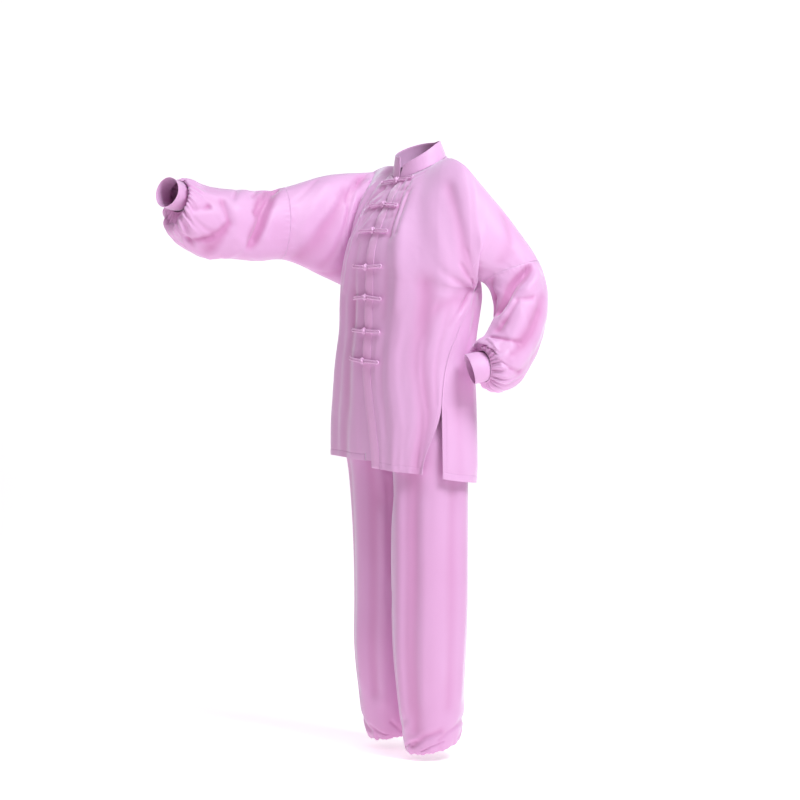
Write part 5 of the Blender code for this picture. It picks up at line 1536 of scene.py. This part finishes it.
collar = cloth_object("jacket_collar", [patch(collar_net())], (0.0, 1.0, 0.03), JACKET, 0.0018, 0, 0.0005)
place(collar, "collar", "jacket_cloth", None, CUTS["collar"][:2], "laid", ("body_left", "body_right"))
band = cloth_object("jacket_front_band", [patch(band_net())], (0.01, -1.0, -0.30), BAND_SATIN_PAINTED_HIGHLIGHT, BAND_WALL)
place(band, "front_band", "jacket_cloth", None, CUTS["band"][:2], "laid", ("body_left",))
waist = cloth_object("trouser_waistband", [patch(waist_net(), None, True)], (0.0, -1.0, -0.39), TROUSER_SATIN_PAINTED_SHADE, 0.0014)
place(waist, "waistband", "trouser_cloth", None, CUTS["waistband"][:2], "gathered", ("leg_left", "leg_right"))

for number, row in enumerate(FROGS, 1):
    height, arm_right, arm_left = row
    for side, rise in ((LEFT, arm_left), (RIGHT, arm_right)):
        label = "frog_%d_%s" % (number, SIDE_NAMES[side])
        arm = cord_object(label + "_cord", [(tube(frog_arm(side, height, rise), CORD), CORD)], CORDS)
        place(arm, label, "cord")
    middle = on_front(LEFT, np.array([0.0006]), np.array([height]), BAND_WALL + 0.0012 + KNOT * 0.80)[0]
    knot = cord_object("frog_%d_knot_cord" % number, knot_tubes(middle), CORDS)
    place(knot, "frog_%d_knot" % number, "cord")


def plain_look(name, color, roughness, glow=0.0):
    material = bpy.data.materials.new(name)
    material.use_nodes = True
    shader = material.node_tree.nodes["Principled BSDF"]
    shader.inputs["Base Color"].default_value = (*color, 1.0)
    shader.inputs["Roughness"].default_value = roughness
    shader.inputs["Emission Color"].default_value = (1.0, 0.93, 0.97, 1.0)
    shader.inputs["Emission Strength"].default_value = glow
    return material


def backdrop():
    """A pale floor that turns up into a wall behind the object."""
    profile = [(6.0, 0.0), (-4.6, 0.0)]
    for t in np.linspace(0.0, math.pi / 2, 13)[1:]:
        profile.append((-4.6 - 1.4 * math.sin(t), 1.4 - 1.4 * math.cos(t)))
    profile.append((-6.0, 6.0))
    turn = math.radians(CAMERA_ANGLE)
    right = np.array([math.cos(turn), math.sin(turn), 0.0])
    toward = np.array([math.sin(turn), -math.cos(turn), 0.0])
    ground = np.array([0.0, 0.0, CAD_BOX[0][2] - 0.012])
    net = []
    for reach, rise in profile:
        net.append([ground + toward * reach + right * aside + np.array([0.0, 0.0, rise]) for aside in (-6.0, 6.0)])
    points, faces = grid(np.array(net))
    mesh = bpy.data.meshes.new("floor")
    mesh.from_pydata(points.tolist(), [], faces)
    mesh.shade_smooth()
    mesh.materials.append(plain_look("pale_floor", (0.93, 0.93, 0.93), 0.9, FLOOR_GLOW))
    floor = bpy.data.objects.new("floor", mesh)
    COLLECTION.objects.link(floor)


FLOOR_GLOW = 0.60
backdrop()

# Light from: azimuth from the front towards the wearer's left, elevation, distance, size and power.
LIGHTS = (
    (90.0, 40.0, 3.3, 1.2, 90.0),
    (60.0, 62.0, 3.4, 1.6, 36.0),
    (-95.0, 40.0, 3.6, 1.4, 10.0),
    (200.0, 40.0, 3.6, 2.4, 14.0),
)
for number, (azimuth, elevation, distance, size, power) in enumerate(LIGHTS, 1):
    lamp = bpy.data.lights.new("softbox_%d" % number, "AREA")
    lamp.shape = "SQUARE"
    lamp.size = size
    lamp.energy = power
    lamp.color = (0.89, 1.0, 1.0)
    turn = math.radians(azimuth)
    tilt = math.radians(elevation)
    way = Vector((math.sin(turn) * math.cos(tilt), -math.cos(turn) * math.cos(tilt), math.sin(tilt)))
    holder = bpy.data.objects.new(lamp.name, lamp)
    holder.location = Vector((0.0, 0.0, -0.20)) + way * distance
    holder.rotation_mode = "QUATERNION"
    holder.rotation_quaternion = way.to_track_quat("Z", "Y")
    COLLECTION.objects.link(holder)

world = bpy.data.worlds.new("soft_studio")
bpy.context.scene.world = world
world.use_nodes = True
world.node_tree.nodes["Background"].inputs["Color"].default_value = (1.0, 0.74, 0.89, 1.0)
world.node_tree.nodes["Background"].inputs["Strength"].default_value = 0.16

camera_data = bpy.data.cameras.new("camera")
camera_data.sensor_width = 36.0
camera_data.lens = 36.0 * FOCAL / FRAME_WIDTH
camera_data.clip_start = 0.05
camera_data.clip_end = 60.0
camera = bpy.data.objects.new("camera", camera_data)
turn = math.radians(CAMERA_ANGLE)
toward = Vector((math.sin(turn), -math.cos(turn), 0.0))
aside = Vector((math.cos(turn), math.sin(turn), 0.0))
camera.location = toward * CAMERA_DISTANCE + aside * CAMERA_ASIDE + Vector((0.0, 0.0, CAMERA_HEIGHT - NECK_HEIGHT))
camera.rotation_mode = "QUATERNION"
camera.rotation_quaternion = toward.to_track_quat("Z", "Y")
COLLECTION.objects.link(camera)
bpy.context.scene.camera = camera
bpy.context.scene.view_settings.view_transform = "Standard"
